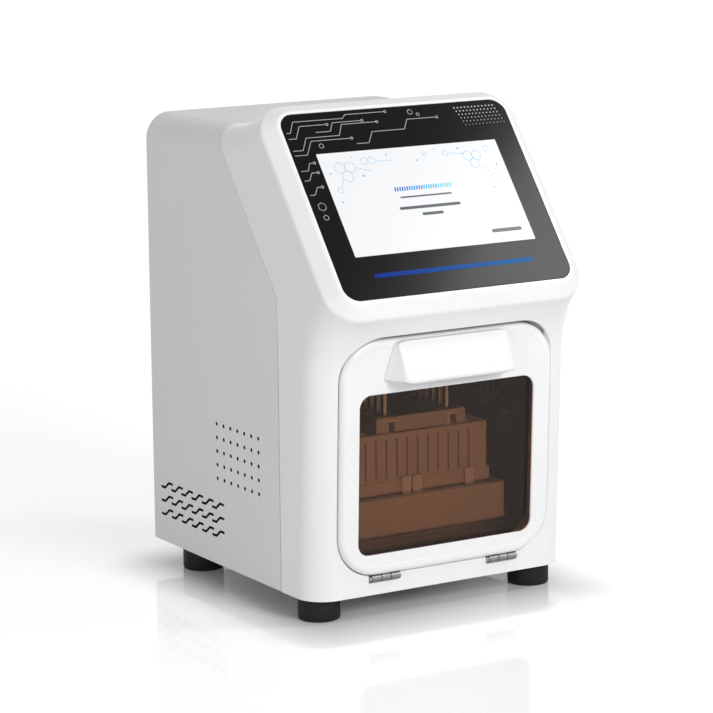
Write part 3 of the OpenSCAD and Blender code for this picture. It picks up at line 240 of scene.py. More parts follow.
def finish_piece(piece, body, material, sharp, replaces=()):
    """Smooths a piece up to the sharp angle and gives it its body, replaced nodes and any material."""
    mesh = piece.data
    mesh.polygons.foreach_set("use_smooth", np.ones(len(mesh.polygons), bool))
    mesh.set_sharp_from_angle(angle=math.radians(sharp))
    if material:
        mesh.materials.clear()
        mesh.materials.append(material)
    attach(piece, body)
    if replaces:
        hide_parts(*replaces)


def even_shading(piece):
    """Lets the large flat faces set the shading next to their rounded edges."""
    piece.modifiers.new("even_shading", "WEIGHTED_NORMAL").keep_sharp = True


def capped(rings):
    """Closes a stack of rings with one face at each end."""
    rings = np.asarray(rings)
    rows, columns = rings.shape[:2]
    faces = [list(f) for f in skin_faces(rows, columns)]
    faces.append(list(range(columns))[::-1])
    faces.append([(rows - 1) * columns + i for i in range(columns)])
    return rings.reshape(-1, 3), faces


def looped(rings):
    """Closes a stack of rings into a tube whose last ring meets its first."""
    rings = np.asarray(rings)
    return rings.reshape(-1, 3), skin_faces(*rings.shape[:2], close_rows=True)


def cut(piece, cutters, operation="DIFFERENCE"):
    """Applies one exact boolean with each cutter, then deletes the cutters."""
    for cutter in cutters:
        step = piece.modifiers.new("cut", "BOOLEAN")
        step.operation = operation
        step.solver = "EXACT"
        step.object = cutter
        step.material_mode = "TRANSFER"
        bpy.context.view_layer.update()
        shape = piece.evaluated_get(bpy.context.evaluated_depsgraph_get())
        mesh = bpy.data.meshes.new_from_object(shape)
        piece.modifiers.clear()
        old = piece.data
        piece.data = mesh
        bpy.data.meshes.remove(old)
        bpy.data.objects.remove(cutter)


def turned_profile(profile, place, columns=64):
    """Revolves (radius, height) points about the vertical line through place."""
    a = np.linspace(0, 2 * np.pi, columns, endpoint=False)
    p = np.asarray(profile, float)
    x = place[0] + p[:, :1] * np.cos(a)
    y = place[1] + p[:, :1] * np.sin(a)
    return np.stack([x, y, np.broadcast_to(p[:, 1:], x.shape)], -1)


def disc(centre, r, n):
    """Closed outline of a circle."""
    return arc(centre, r, 0, 360, n)[:-1]


def slab(outline, low, high):
    """A flat outline carried straight from one height to another, closed at both ends."""
    return capped([layer(outline, low), layer(outline, high)])


def band(outer, inner, low, high):
    """The strip between two outlines of equal count, carried from one height to another."""
    return looped([layer(outer, low), layer(outer, high), layer(inner, high), layer(inner, low)])


def joined(parts):
    """Puts several (points, faces) shapes into one list of points and one of faces."""
    points, faces, count = [], [], 0
    for part_points, part_faces in parts:
        points.append(np.asarray(part_points))
        faces += [[count + int(i) for i in face] for face in part_faces]
        count += len(part_points)
    return np.concatenate(points), faces


# ------------------------ finishes
def blank(name):
    """A new node material and its node tree."""
    made = bpy.data.materials.new(name)
    made.use_nodes = True
    return made, made.node_tree


def put(tree, node, values):
    """Sets inputs of a node: a value is stored, and another node's output is linked."""
    for socket, value in values.items():
        if isinstance(value, bpy.types.NodeSocket):
            tree.links.new(value, node.inputs[socket])
        else:
            node.inputs[socket].default_value = value


def add(tree, kind, values=None, **settings):
    """A new shader node of a kind, with its settings and its inputs."""
    made = tree.nodes.new("ShaderNode" + kind)
    for name, value in settings.items():
        setattr(made, name, value)
    put(tree, made, values or {})
    return made


def own_place(tree):
    """The piece's own coordinates."""
    return add(tree, "TexCoord").outputs["Object"]


def finish(name, base, rough, grain=900, depth=0.02, patch=40, wander=0.04, fade=0.05, stretch=(1, 1, 1),
           fixed=None):
    """A surface finish: fine grain in the bump, and slow changes of roughness and colour across the piece.

    Grain and patch are noise scales, depth is the bump's in millimetres, and wander and fade are how far
    roughness and colour change.
    """
    if name in bpy.data.materials:
        return bpy.data.materials[name]
    made, tree = blank(name)
    place = add(tree, "Mapping", {"Vector": own_place(tree), "Scale": stretch}).outputs["Vector"]
    fine, slow = (add(tree, "TexNoise", {"Vector": place, "Scale": scale, "Detail": detail}).outputs["Fac"]
                  for scale, detail in ((grain, 3), (patch, 2)))
    bump = add(tree, "Bump", {"Height": fine, "Strength": 0.5, "Distance": depth * MM})
    spread = add(tree, "MapRange", {"Value": slow, "From Min": 0.3, "From Max": 0.7,
                                    "To Min": max(rough - wander, 0.02), "To Max": rough + wander})
    tones = {"Factor": slow, "A": (*base, 1), "B": (*[c * (1 - fade) for c in base], 1)}
    tone = add(tree, "Mix", tones, data_type="RGBA")
    put(tree, tree.nodes["Principled BSDF"], {
        **(fixed or {}), "Normal": bump.outputs["Normal"], "Roughness": spread.outputs["Result"],
        "Base Color": tone.outputs["Result"]})
    return made


def fascia_white():
    """Gloss white moulded plastic with a faint flow pattern."""
    return finish("fascia_moulding", tuple(colours().fascia), 0.22, 320, 0.012, 14, 0.03, 0.015,
                  fixed={"Specular IOR Level": 0.4})


def casing_paint():
    """Satin powder coat with a fine orange peel."""
    return finish("casing_powder_coat", tuple(colours().casing), 0.5, 1400, 0.03, 18, 0.04, 0.03,
                  fixed={"Specular IOR Level": 0.08})


def rubber():
    """Matt black rubber."""
    return finish("black_rubber_grain", tuple(colours().rubber), 0.62, 1600, 0.05, 60, 0.06, 0.2,
                  fixed={"Specular IOR Level": 0.2})


def bare_metal(name, base, rough=0.32):
    """Rolled or plated metal with a drawn grain along X."""
    return finish(name, base, rough, 700, 0.02, 50, 0.06, 0.08, (0.08, 1, 1), {"Metallic": 1.0})


def bar_light():
    """The light bar: its blue runs from dark at the left to bright at the right, and it glows a little."""
    made, tree = blank("light_bar_lens")
    low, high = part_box("status_light")
    split = add(tree, "SeparateXYZ", {"Vector": own_place(tree)})
    along = add(tree, "MapRange", {"Value": split.outputs["X"], "From Min": low.x, "From Max": high.x})
    ramp = add(tree, "ValToRGB", {"Fac": along.outputs["Result"]})
    for stop, tint in zip(ramp.color_ramp.elements, (colours().light_left, colours().light_right)):
        stop.color = (*tint, 1)
    blue = ramp.outputs["Color"]
    put(tree, tree.nodes["Principled BSDF"], {"Base Color": blue, "Emission Color": blue, "Roughness": 0.2,
                                              "Emission Strength": 0.05, "Specular IOR Level": 0.04})
    return made


def amber_pane():
    """Amber acrylic: lets tinted light straight through and mirrors a little, more at a slant."""
    made, tree = blank("amber_acrylic")
    tree.nodes.remove(tree.nodes["Principled BSDF"])
    slow = add(tree, "TexNoise", {"Vector": own_place(tree), "Scale": 12}).outputs["Fac"]
    tones = {"Factor": slow, "A": (*colours().pane, 1), "B": (*[c * 0.94 for c in colours().pane], 1)}
    tint = add(tree, "Mix", tones, data_type="RGBA")
    through = add(tree, "BsdfTransparent", {"Color": tint.outputs["Result"]})
    gloss = add(tree, "BsdfGlossy", {"Roughness": 0.04})
    slant = add(tree, "Fresnel", {"IOR": 1.3})
    both = add(tree, "MixShader", {"Fac": slant.outputs["Fac"], 1: through.outputs["BSDF"],
                                   2: gloss.outputs["BSDF"]})
    put(tree, tree.nodes["Material Output"], {"Surface": both.outputs["Shader"]})
    return made


# ------------------------ fascia form
def front_y(z):
    """Y of the leaning front face at a height, from its foot: minus the height times the lean's tangent."""
    return -(z - BASE_Z) * math.tan(sizes().lean)


def bend_z():
    """Height where the upright joint meets the slanted one."""
    s = sizes()
    return s.screen_z - s.housing_d * math.sin(s.tilt) + (
        s.fascia_d - s.screen_back - s.housing_d * math.cos(s.tilt)) / math.tan(s.tilt)


def joint_y(z):
    """Y of the joint with the casing: upright up to the bend, then parallel to the screen."""
    return sizes().fascia_d + np.maximum(np.asarray(z) - bend_z(), 0) * math.tan(sizes().tilt)


def collar_z():
    """Height of the collar's front: where a hollow of even curve from the rim meets the front face."""
    s = sizes()
    depth = s.rim_back
    low_y = s.screen_back + depth * math.cos(s.tilt) - s.rim_h / 2 * math.sin(s.tilt)
    low_z = s.screen_z - depth * math.sin(s.tilt) - s.rim_h / 2 * math.cos(s.tilt)
    hollow = 1 / math.tan((math.pi / 2 - s.tilt - s.lean) / 2)
    return (low_z - hollow * (BASE_Z * math.tan(s.lean) - low_y)) / (1 - hollow * math.tan(s.lean))


def rim_outline(w, h, r):
    """Rounded rectangle with extra points up both sides: slow at first, then evenly to the upper corner."""
    x, y = w / 2 - r, h / 2 - r
    f = np.where(SIDE_T < 2 / 3, 0.6 * SIDE_T, 0.4 + 0.6 * (3 * SIDE_T - 2))
    side = np.stack([np.full_like(f, w / 2), -y + 2 * y * f], 1)
    other = side[::-1] * [-1, 1]
    return np.concatenate([arc((-x, -y), r, 180, 270), arc((x, -y), r, 270, 360), side,
                           arc((x, y), r, 0, 90), arc((-x, y), r, 90, 180), other])


def screen_ring(outline, behind):
    """Points of the screen's plane, so far behind the glass, counted from the fascia's foot."""
    s = sizes()
    y = s.screen_back + outline[:, 1] * math.sin(s.tilt) + behind * math.cos(s.tilt)
    z = s.screen_z + outline[:, 1] * math.cos(s.tilt) - behind * math.sin(s.tilt)
    return np.stack([outline[:, 0], y, z], 1)


def collar(t):
    """The collar with the wall t taken off: level round the front, up the joint and over the casing's top."""
    s = sizes()
    hw, r = CASE_HW - FASCIA_IN - t, s.fascia_r - t
    yf = front_y(collar_z()) + t
    cr, top = CASE_R - t, CASING_HIGH.z - t
    cx = CASE_HW - t - cr
    front = np.concatenate([arc((-hw + r, yf + r), r, 180, 270), arc((hw - r, yf + r), r, 270, 360)])
    front = layer(front, collar_z())
    upper = np.concatenate([arc((cx, top - cr), cr, 0, 90), arc((-cx, top - cr), cr, 90, 180)])
    upper = np.stack([upper[:, 0], joint_y(upper[:, 1]), upper[:, 1]], 1)
    bend = np.array([CASE_HW - t, s.fascia_d, bend_z()])
    start = upper[0]
    a = np.clip(SIDE_T * 1.5, 0, 1)[:, None]
    b = np.clip(SIDE_T * 3 - 2, 0, 1)[:, None]
    side = front[-1] * (1 - a) + bend * a + (start - bend) * b
    other = side[::-1] * [-1, 1, 1]
    return np.concatenate([front, side, upper, other])


def share(step):
    """How much of the rim is left on the way to the collar.

    It is 1 - cos and sin of a part of a turn, through one angle below the screen and another above it.
    """
    s = sizes()
    psi, chi = math.pi / 2 - s.tilt - s.lean, s.tilt
    n = 2 * (ARC_STEPS + 1)
    u = np.concatenate([np.zeros(n), SIDE_T, np.ones(n), SIDE_T[::-1]])[:, None]
    under, down = (1 - math.cos(psi * step)) / (1 - math.cos(psi)), math.sin(psi * step) / math.sin(psi)
    over, back = (1 - math.cos(chi * step)) / (1 - math.cos(chi)), math.sin(chi * step) / math.sin(chi)
    pairs = ((under, over), (under, back), (down, over))
    return np.concatenate([low * (1 - u) + high * u for low, high in pairs], 1)


def eased(a, corner, b, n=4):
    """Rings of a quadratic curve from a to b that rounds off a corner ring."""
    t = np.linspace(0, 1, n + 2)[:, None, None]
    return list((1 - t) ** 2 * a + 2 * t * (1 - t) * corner + t ** 2 * b)


def housing_solid(t, n=22):
    """Screen housing as a closed loft: face, chamfer, rounded rim, hollow sides, and a run past the joint."""
    s = sizes()
    past, inner_face, soft = 0.06, 4.3 * MM, 0.8 * MM
    rim = screen_ring(rim_outline(s.rim_w - 2 * t, s.rim_h - 2 * t, s.rim_r - t), s.rim_back + t)
    edge = 2 * s.strip - 2 * t
    w, h, r = s.glass_w + edge, s.glass_h + edge, s.glass_r + s.strip
    face = screen_ring(rim_outline(w, h, r), inner_face if t > 0 else 0)
    col = collar(t)
    steps = [col + (rim - col) * share(1 - k / n) for k in range(1, n + 1)]
    if t > 0:
        rings = [face, rim]
    else:
        inset = screen_ring(rim_outline(w - 2 * soft, h - 2 * soft, r - soft), 0)
        rings = eased(inset, face, face + (rim - face) * 0.07, 2)
        rings += eased(face + (rim - face) * 0.86, rim, rim + (steps[0] - rim) * 0.7)
    rings += steps + [col + [0, past, 0]]
    rings = np.asarray(rings)
    rows, columns = rings.shape[:2]
    points = np.concatenate([rings.reshape(-1, 3), [rings[-1].mean(0)]])
    faces = [list(f) for f in skin_faces(rows, columns)]
    faces.append(list(range(columns)))
    last = (rows - 1) * columns
    i = np.arange(columns)
    faces += np.stack([last + i, last + (i + 1) % columns, np.full(columns, rows * columns)], 1).tolist()
    return points, faces


def body_solid(t, low):
    """Lower body as a closed solid between two level sections with round front corners."""
    s = sizes()
    hw, r, back = CASE_HW - FASCIA_IN - t, s.fascia_r - t, s.fascia_d + 0.06
    rings = []
    for z in (low, collar_z()):
        y = front_y(z) + t + r
        corners = [arc((-hw + r, y), r, 180, 270), arc((hw - r, y), r, 270, 360), [[hw, back], [-hw, back]]]
        rings.append(layer(np.concatenate(corners), z))
    return capped(rings)


def placed(points):
    """Moves points counted from the fascia's foot into the row's frame."""
    return np.asarray(points) + [0, foot_y(), 0]


def front_slab(size, profile):
    """A cutter on the front face: (width, height, corner, middle height) and (growth, depth) steps."""
    w, h, r, mid = size
    rings = [layer(rounded(w, h, r, g) + [0, mid], -depth, True) for g, depth in profile]
    return solid(capped(rings), on_front)


def barrel_cuts():
    """Room for both hinge barrels: level cylinders about the hinges' pins."""
    s = sizes()
    r, reach, pin = 3.4 * MM, s.hinge_len / 2 + 1.4 * MM, [0.5 * MM, s.door_low - 2.5 * MM]
    ring = disc((0, 0), r, 32) + pin
    cutters = []
    for middle in (-s.hinge_x, s.hinge_x):
        ends = [np.insert(ring, 0, middle + reach * end, 1) for end in (-1, 1)]
        cutters.append(solid(capped(ends), on_front))
    return cutters


def make_fascia():
    """The one-piece fascia: a thin shell of the loft, with a door recess, a glass seat and hinge seats."""
    s = sizes()
    far, wide, behind, under = 0.48, 0.2, 0.6, -0.01
    joint_gap, frame_out, frame_depth, recess_depth = 0.4 * MM, 3.5 * MM, 12.5 * MM, 9.5 * MM
    ledge_w, ledge_h, ledge_low, seat_gap = 15.4 * MM, 28.8 * MM, 8.8 * MM, 0.6 * MM
    shell = solid(housing_solid(0), placed, "fascia")
    cut(shell, [solid(body_solid(0, BASE_Z - 0.5 * MM), placed)], "UNION")
    cut(shell, [solid(housing_solid(s.wall), placed), solid(body_solid(s.wall, BASE_Z - 1.5 * MM), placed)])
    line = np.array([[s.fascia_d - joint_gap, under], [behind, under], [behind, far],
                     [float(joint_y(far)) - joint_gap, far], [s.fascia_d - joint_gap, bend_z()]])
    cut(shell, [solid(capped([np.insert(line, 0, x, 1) for x in (-wide, wide)]), placed)])
    door = (s.door_w, s.door_h, s.door_r, s.door_low + s.door_h / 2)
    stiff = [(frame_out, s.wall - 0.5 * MM), (frame_out, frame_depth)]
    cut(shell, [front_slab(door, stiff)], "UNION")
    lip = [(s.door_gap + s.lip_r * (1 - math.cos(a)), s.lip_r * (1 - math.sin(a)))
           for a in np.radians([0, 30, 60, 90])]
    recess = [(s.door_gap, recess_depth)] + lip + [(s.door_gap + s.lip_r, -10 * MM)]
    way_h = s.door_h - ledge_h
    way = (s.door_w - ledge_w, way_h, s.door_r - 6 * MM, s.door_low + ledge_low + way_h / 2)
    seat = rounded(s.glass_w + seat_gap, s.glass_h + seat_gap, s.glass_r)
    window = rounded(168 * MM, 102 * MM, 1 * MM)
    cut(shell, [front_slab(door, recess), front_slab(way, [(0, -10 * MM), (0, 40 * MM)]),
                solid(slab(seat, -2.3 * MM, 0.02), on_screen), solid(slab(window, -0.02, 0.01), on_screen),
                *barrel_cuts()])
    tidy_mesh(shell.data)
    finish_piece(shell, "cabinet", fascia_white(), 32, ["front_fascia"])
    even_shading(shell)


def make_cover_glass():
    """Cover glass: a black slab with a fine chamfer, with a slot for the light bar."""
    s = sizes()
    bar_w, bar_h, bar_mid, bar_in = 135.6 * MM, 3.7 * MM, -59.3 * MM, 1 * MM
    chamfer = ((0, -s.glass_t), (0, -0.35 * MM), (0.1 * MM, -0.1 * MM), (0.35 * MM, 0))
    rings = [layer(rounded(s.glass_w, s.glass_h, s.glass_r, -g), z) for g, z in chamfer]
    glass = solid(capped(rings), on_screen, "cover_glass")
    slot = slab(rounded(bar_w, bar_h, bar_h / 2) + [0, bar_mid], -bar_in, bar_in)
    cut(glass, [solid(slot, on_screen)])
    tidy_mesh(glass.data)
    black = finish("printed_black_glass", tuple(colours().glass), 0.13, 300, 0.002, 8, 0.02, 0.3,
                   fixed={"Specular IOR Level": 0.08})
    finish_piece(glass, "cabinet", black, 30, ["screen_glass"])
    even_shading(glass)


# ------------------------ print on the glass
def screen_print(name, parts, material):
    """A thin printed layer that lies on the cover glass."""
    finish_piece(solid(joined(parts), on_screen, name), "cabinet", material, 30)


def inked(outline, low=0):
    """An outline as a printed layer, on the glass or on the layer below it."""
    return slab(outline, low, low + PRINT_T)


def spot(x, y, r, n, low=0):
    """A printed dot, in millimetres."""
    return inked(disc((x * MM, y * MM), r * MM, n), low)


def hexagon(x, y, r, line, low=0):
    """A printed regular hexagon with a corner upwards, drawn as a line, in millimetres."""
    outer, inner = (arc((x * MM, y * MM), size * MM, 90, 450, 6)[:-1] for size in (r, r - line))
    return band(outer, inner, low, low + PRINT_T)


def lattice():
    """Hexagons, links and dots of the pale picture."""
    cells = ((-62, 30, 5), (-53.4, 30, 5), (-57.7, 22.6, 5), (-40, 34, 3.4), (-34.2, 34, 3.4), (48, 31, 4.4),
             (55.6, 31, 4.4), (51.8, 24.4, 4.4), (66, 36, 2.6), (30, 35, 2.6), (-68, 12, 2.6), (64, 12, 3),
             (12, 36, 2))
    links = ((-48.6, 27.4, 12, -18), (-30.8, 33, 14, 0), (34, 34, 12, -8), (58, 19, 9, -60), (-66, 18, 9, 62))
    dots = ((-45, 22, 0.9), (-20, 38, 0.7), (4, 31, 0.8), (22, 39, 0.6), (42, 38, 0.9), (70, 22, 0.8),
            (-71, 26, 0.7), (60, 3, 0.7), (-70, 2, 0.8), (-49, 38, 0.6))
    parts = [hexagon(*cell, 0.32, PRINT_T) for cell in cells]
    for x, y, long, tilt in links:
        c, n = math.cos(math.radians(tilt)), math.sin(math.radians(tilt))
        line = rounded(long * MM, 0.3 * MM, 0.12 * MM) @ np.array([[c, n], [-n, c]])
        parts.append(inked(line + [(x + long / 2 * c) * MM, y * MM], PRINT_T))
    return parts + [spot(*dot, 20, PRINT_T) for dot in dots]


def border_marks():
    """Traces that end in rings, hexagons, and a field of dots that shrink from row to row."""
    traces = (((-94, 47), (-86, 47), (-80, 57), (-52, 57), (-47, 66), (-18, 66)),
              ((-94, 43), (-84, 43), (-77, 54), (-44, 54)), ((-94, 57), (-88, 57), (-82, 67), (-60, 67)),
              ((-94, 62), (-91, 62), (-86, 71), (-44, 71), (-41, 74), (-8, 74)),
              ((-70, 61), (-58, 61), (-54, 68), (-30, 68)), ((-94, 30), (-88, 30), (-85, 36), (-82, 36)),
              ((-94, 22), (-90, 22), (-86, 28), (-82, 28)),
              ((-40, 49), (-30, 49), (-24, 58), (4, 58), (9, 66), (34, 66)),
              ((-94, 10), (-90, 10), (-86, 16), (-83, 16)))
    cells = ((-88, 0, 3.6), (-88, -9, 2.4), (-70, 49.5, 2.2), (14, 72, 2.4), (20, 69.5, 1.6))
    line, ring_r, hole_r = 0.5, 1.2 * MM, 0.65 * MM
    marks = []
    for path in traces:
        end = np.array(path[-1]) * MM + [ring_r, 0]
        marks.append(inked(stroke(np.array(path) * MM, line * MM)))
        marks.append(band(disc(end, ring_r, 18), disc(end, hole_r, 18), 0, PRINT_T))
    marks += [hexagon(*cell, line) for cell in cells]
    for row in range(6):
        for column in range(12):
            marks.append(spot(53 + row * 0.9 + column * 3.1, 72.5 - row * 3.0, 0.75 - 0.07 * row, 10))
    return marks


def make_print():
    """Display picture, pale lattice, progress bar and grey border print, all of a plain generic design."""
    s = sizes()
    dull = {"Specular IOR Level": 0.1}
    lit = {"Emission Color": (0.9, 0.94, 1, 1), "Emission Strength": 0.04, "Specular IOR Level": 0.2}
    picture = finish("display_white_panel", (0.8, 0.81, 0.82), 0.16, 200, 0.002, 10, 0.02, 0.03, fixed=lit)
    screen_print("display_picture", [inked(rounded(s.display_w, s.display_h, 0.6 * MM))], picture)
    pale = finish("display_pale_blue", (0.16, 0.52, 0.82), 0.16, 200, 0.002, 10, 0.02, 0.03, fixed=dull)
    screen_print("display_lattice", lattice(), pale)
    shades = ((0.0, 0.14, 0.6), (0.0, 0.27, 0.75), (0.0, 0.5, 0.84), (0.12, 0.68, 0.82))
    group, pitch, bar_y = 6, 2.05, 8.5
    bar = rounded(1.15 * MM, 3.4 * MM, 0.2 * MM) @ np.array([[1, 0], [0.25, 1]])
    places = (np.arange(group * len(shades)) - (group * len(shades) - 1) / 2) * pitch
    for k, shade in enumerate(shades):
        bars = [inked(bar + [x * MM, bar_y * MM], PRINT_T) for x in places[k * group:(k + 1) * group]]
        blue = finish(f"progress_blue_{k + 1}", shade, 0.16, 200, 0.002, fixed=dull)
        screen_print(f"progress_bar_{k + 1}", bars, blue)
    grey = finish("display_grey", (0.13, 0.14, 0.15), 0.16, 200, 0.002, fixed=dull)
    rows = ((0, 1.5, 44, 1.3), (0, -7.5, 52, 2.4), (0, -13.5, 18, 2.4), (56, -33, 26, 3))
    strips = [inked(rounded(w * MM, h * MM, h / 2.2 * MM) + [x * MM, y * MM], PRINT_T) for x, y, w, h in rows]
    screen_print("display_rows", strips, grey)
    silver = finish("border_print_grey", (0.42, 0.425, 0.43), 0.3, 300, 0.004, fixed=dull)
    screen_print("border_print", border_marks(), silver)


# ------------------------ door, feet and casing
def make_door_frame():
    """Door frame: rounded edge, narrow rim, soft step to a flat face, window reveal and pane seat.

    The steps are (in from the door's edge, behind its front) and (out from the window's edge, behind the
    front) in millimetres.
    """
    s = sizes()
    edge_r, magnet_x, magnet_r = 4 * MM, 54 * MM, 4.05 * MM
    magnet_z, magnet_low, past = s.door_low + s.door_h - 8.5 * MM, -5.7 * MM, -20 * MM
    rim = ((6.2, 0), (6.7, 0.08), (7.2, 0.3), (7.7, 0.42), (8.4, 0.45))
    reveal = ((1.2, 0.45), (0.45, 0.55), (0.12, 0.9), (0, 1.5), (0, 2.0), (4.2, 2.0), (4.2, 12))
    mid = s.door_low + s.door_h / 2
    sill = s.door_low + s.window_low + s.window_h / 2
    a = np.radians(np.linspace(0, 90, 9))
    steps = [(0, s.door_t), *np.stack([1 - np.cos(a), 1 - np.sin(a)], 1) * edge_r, *np.array(rim) * MM]
    rings = [layer(rounded(s.door_w, s.door_h, s.door_r, -g) + [0, mid], s.door_proud - d, True)
             for g, d in steps]
    rings += [layer(rounded(s.window_w, s.window_h, s.window_r, g) + [0, sill], s.door_proud - d, True)
              for g, d in np.array(reveal) * MM]
    surround = solid(looped(rings), on_front, "door_surround")
    cutters = barrel_cuts()
    for x in (-magnet_x, magnet_x):
        ring = disc((x, magnet_z), magnet_r, 32)
        pocket = capped([layer(ring, magnet_low, True), layer(ring, past, True)])
        cutters.append(solid(pocket, on_front))
    cut(surround, cutters)
    tidy_mesh(surround.data)
    finish_piece(surround, "door", fascia_white(), 32, ["door_frame"])
    even_shading(surround)


def make_handle():
    """Door handle: a tapered bar lofted from a wide base to a slanted front, with a finger grip beneath."""
    s = sizes()
    base_low, base_high, tip_low, tip_high = (v * MM for v in (56, 46.5, 45.5, 47))     # half widths
    lean_back, straight, edge_r, under_top = 0.74, 0.86, 3.2 * MM, 3 * MM
    hollow_w, hollow_d, hollow_mid, hollow_h = 78 * MM, 9 * MM, 7 * MM, 9 * MM
    high = s.door_low + s.door_h - under_top
    low = high - s.handle_h
    unit = rounded(2, 2, 0.16)
    across, up = unit[:, 0], (unit[:, 1] + 1) / 2
    steps = [(v, 0) for v in (0, 0.03, 0.35, 0.7, straight)]
    steps += [(straight + (1 - straight) * math.sin(a), edge_r * (1 - math.cos(a)))
              for a in np.radians(np.arange(15, 91, 15))]
    rings = []
    for v, inset in steps:
        base, tip = base_low * (1 - up) + base_high * up, tip_low * (1 - up) + tip_high * up
        half = base * (1 - v) + tip * v - inset
        reach = v * s.handle_out * (1 - lean_back * up)
        z = low + inset + (s.handle_h - 2 * inset) * up
        rings.append(np.stack([across * half, s.door_proud + reach, z], 1))
    grip = solid(capped(rings), on_front, "door_grip")
    hollow = slab(rounded(hollow_w, hollow_d, 3 * MM) + [0, s.door_proud + hollow_mid], low - 1 * MM,
                  low + hollow_h)
    cut(grip, [solid(hollow, on_front)])
    tidy_mesh(grip.data)
    finish_piece(grip, "door", fascia_white(), 40, ["door_handle"])
    even_shading(grip)


def make_feet():
    """Round rubber feet: a turned profile with a rounded tread, a waist line and a screw recess."""
    radius, top = 16, 21.9
    profile = np.array([[0, 4], [4.6, 4], [5, 3.6], [5, 0.3], [5.3, 0], [14.6, 0], [15.6, 0.5], [radius, 1.5],
                        [radius, 14.4], [15.7, 14.9], [15.7, 15.4], [radius, 15.8], [radius, 17.4],
                        [15.6, 17.95], [4, 18], [4, top], [0, top]])
    for name in ("foot_front_left", "foot_front_right", "foot_rear_left", "foot_rear_right"):
        low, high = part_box(name)
        fit = [(high.x - low.x) / 2 / (radius * MM), high.z / (top * MM)]
        rings = turned_profile(profile * MM * fit, (low + high) / 2)
        piece = solid(capped(rings[1:-1]), name="rubber_" + name)
        finish_piece(piece, "cabinet", rubber(), 40, [name])


def stroke(points, width):
    """Outline of a line of even width with round ends: its path moved to both sides, and half circles."""
    p = np.asarray(points, float)
    step = np.diff(p, axis=0)
    turn = np.degrees(np.arctan2(step[:, 1], step[:, 0]))
    normal = np.stack([-step[:, 1], step[:, 0]], 1) / np.linalg.norm(step, axis=1)[:, None]
    mitre = normal[:-1] + normal[1:]
    side = mitre / (mitre * normal[1:]).sum(1)[:, None] * width / 2
    end = arc(p[-1], width / 2, turn[-1] - 90, turn[-1] + 90, 8)
    start = arc(p[0], width / 2, turn[0] + 90, turn[0] + 270, 8)
    return np.concatenate([end, (p[1:-1] + side)[::-1], start, p[1:-1] - side])


def across_casing(outline):
    """Carries an outline in depth and height right through both side walls."""
    return capped([np.insert(outline + [foot_y(), 0], 0, x, 1) for x in (-0.2, 0.2)])


def make_casing():
    """Wrap-round sheet casing: a U path with round top edges, cut along the fascia's joint, with vents whose
    walls carry painted shade.
    """
    hw, top, r, sheet = CASING_HIGH.x, CASING_HIGH.z, CASE_R, 2 * MM
    sides = np.array([BASE_Z, (BASE_Z + bend_z()) / 2, bend_z(), (bend_z() + top - r) / 2])
    rings = []
    for t in (0, sheet):
        corner = arc((hw - r, top - r), r - t, 0, 90), arc((r - hw, top - r), r - t, 90, 180)
        legs = np.stack([np.full(4, hw - t), sides], 1)
        path = np.concatenate([legs, *corner, legs[::-1] * [-1, 1]])
        front, back = joint_y(path[:, 1]), np.full(len(path), sizes().cabinet_d)
        rings.append([np.stack([path[:, 0], y + foot_y(), path[:, 1]], 1) for y in (front, back)])
    stations = np.stack([rings[0][0], rings[0][1], rings[1][1], rings[1][0]], 1)
    casing = solid(capped(stations), name="casing_wrap")
    casing.data.materials.append(casing_paint())
    cutter = solid(joined([across_casing(v) for v in vent_outlines()]))
    # Painted shade: the cut walls of the vent holes and louvres are given near-black colour to stand in for
    # the dark inside them.
    dark = finish("vent_walls_painted_shade", (0.012, 0.012, 0.013), 0.6, fixed={"Specular IOR Level": 0.1})
    cutter.data.materials.append(dark)
    cut(casing, [cutter])
    finish_piece(casing, "cabinet", None, 30, ["rear_casing"])
    even_shading(casing)


def vent_outlines():
    """Round vent holes and stepped louvres of a side, behind the fascia's foot and above the bench."""
    hole_r, hole_pitch, first_hole = 1.5 * MM, 10.4, (74.2, 84.6)
    louvre_w, louvre_pitch, first_louvre = 2.0 * MM, (16.2, 10.7), (145.6, 39.6)
    louvre = np.array([[0, 0], [-5.6, 0], [-11.6, 4.5], [-17.2, 4.5]])
    holes = [np.array((i, j)) * hole_pitch + first_hole for i in range(7) for j in range(5)]
    slots = [louvre + np.array((i, j)) * louvre_pitch + first_louvre for i in range(6) for j in range(3)]
    return [disc(at * MM, hole_r, 20) for at in holes] + [stroke(path * MM, louvre_w) for path in slots]


def smooth_copy(node, body, material, sharp=28):
    """A welded copy of a CAD node that is shaded smooth over its round faces."""
    mesh = frame["nodes"][node].data.copy()
    piece = linked("smooth_" + node, mesh)
    bm = bmesh.new()
    bm.from_mesh(mesh)
    bmesh.ops.remove_doubles(bm, verts=bm.verts, dist=1e-6)
    bmesh.ops.dissolve_limit(bm, angle_limit=math.radians(0.5), verts=bm.verts, edges=bm.edges)
    bm.to_mesh(mesh)
    bm.free()
    if "custom_normal" in mesh.attributes:
        mesh.attributes.remove(mesh.attributes["custom_normal"])
    finish_piece(piece, body, material, sharp, [node])


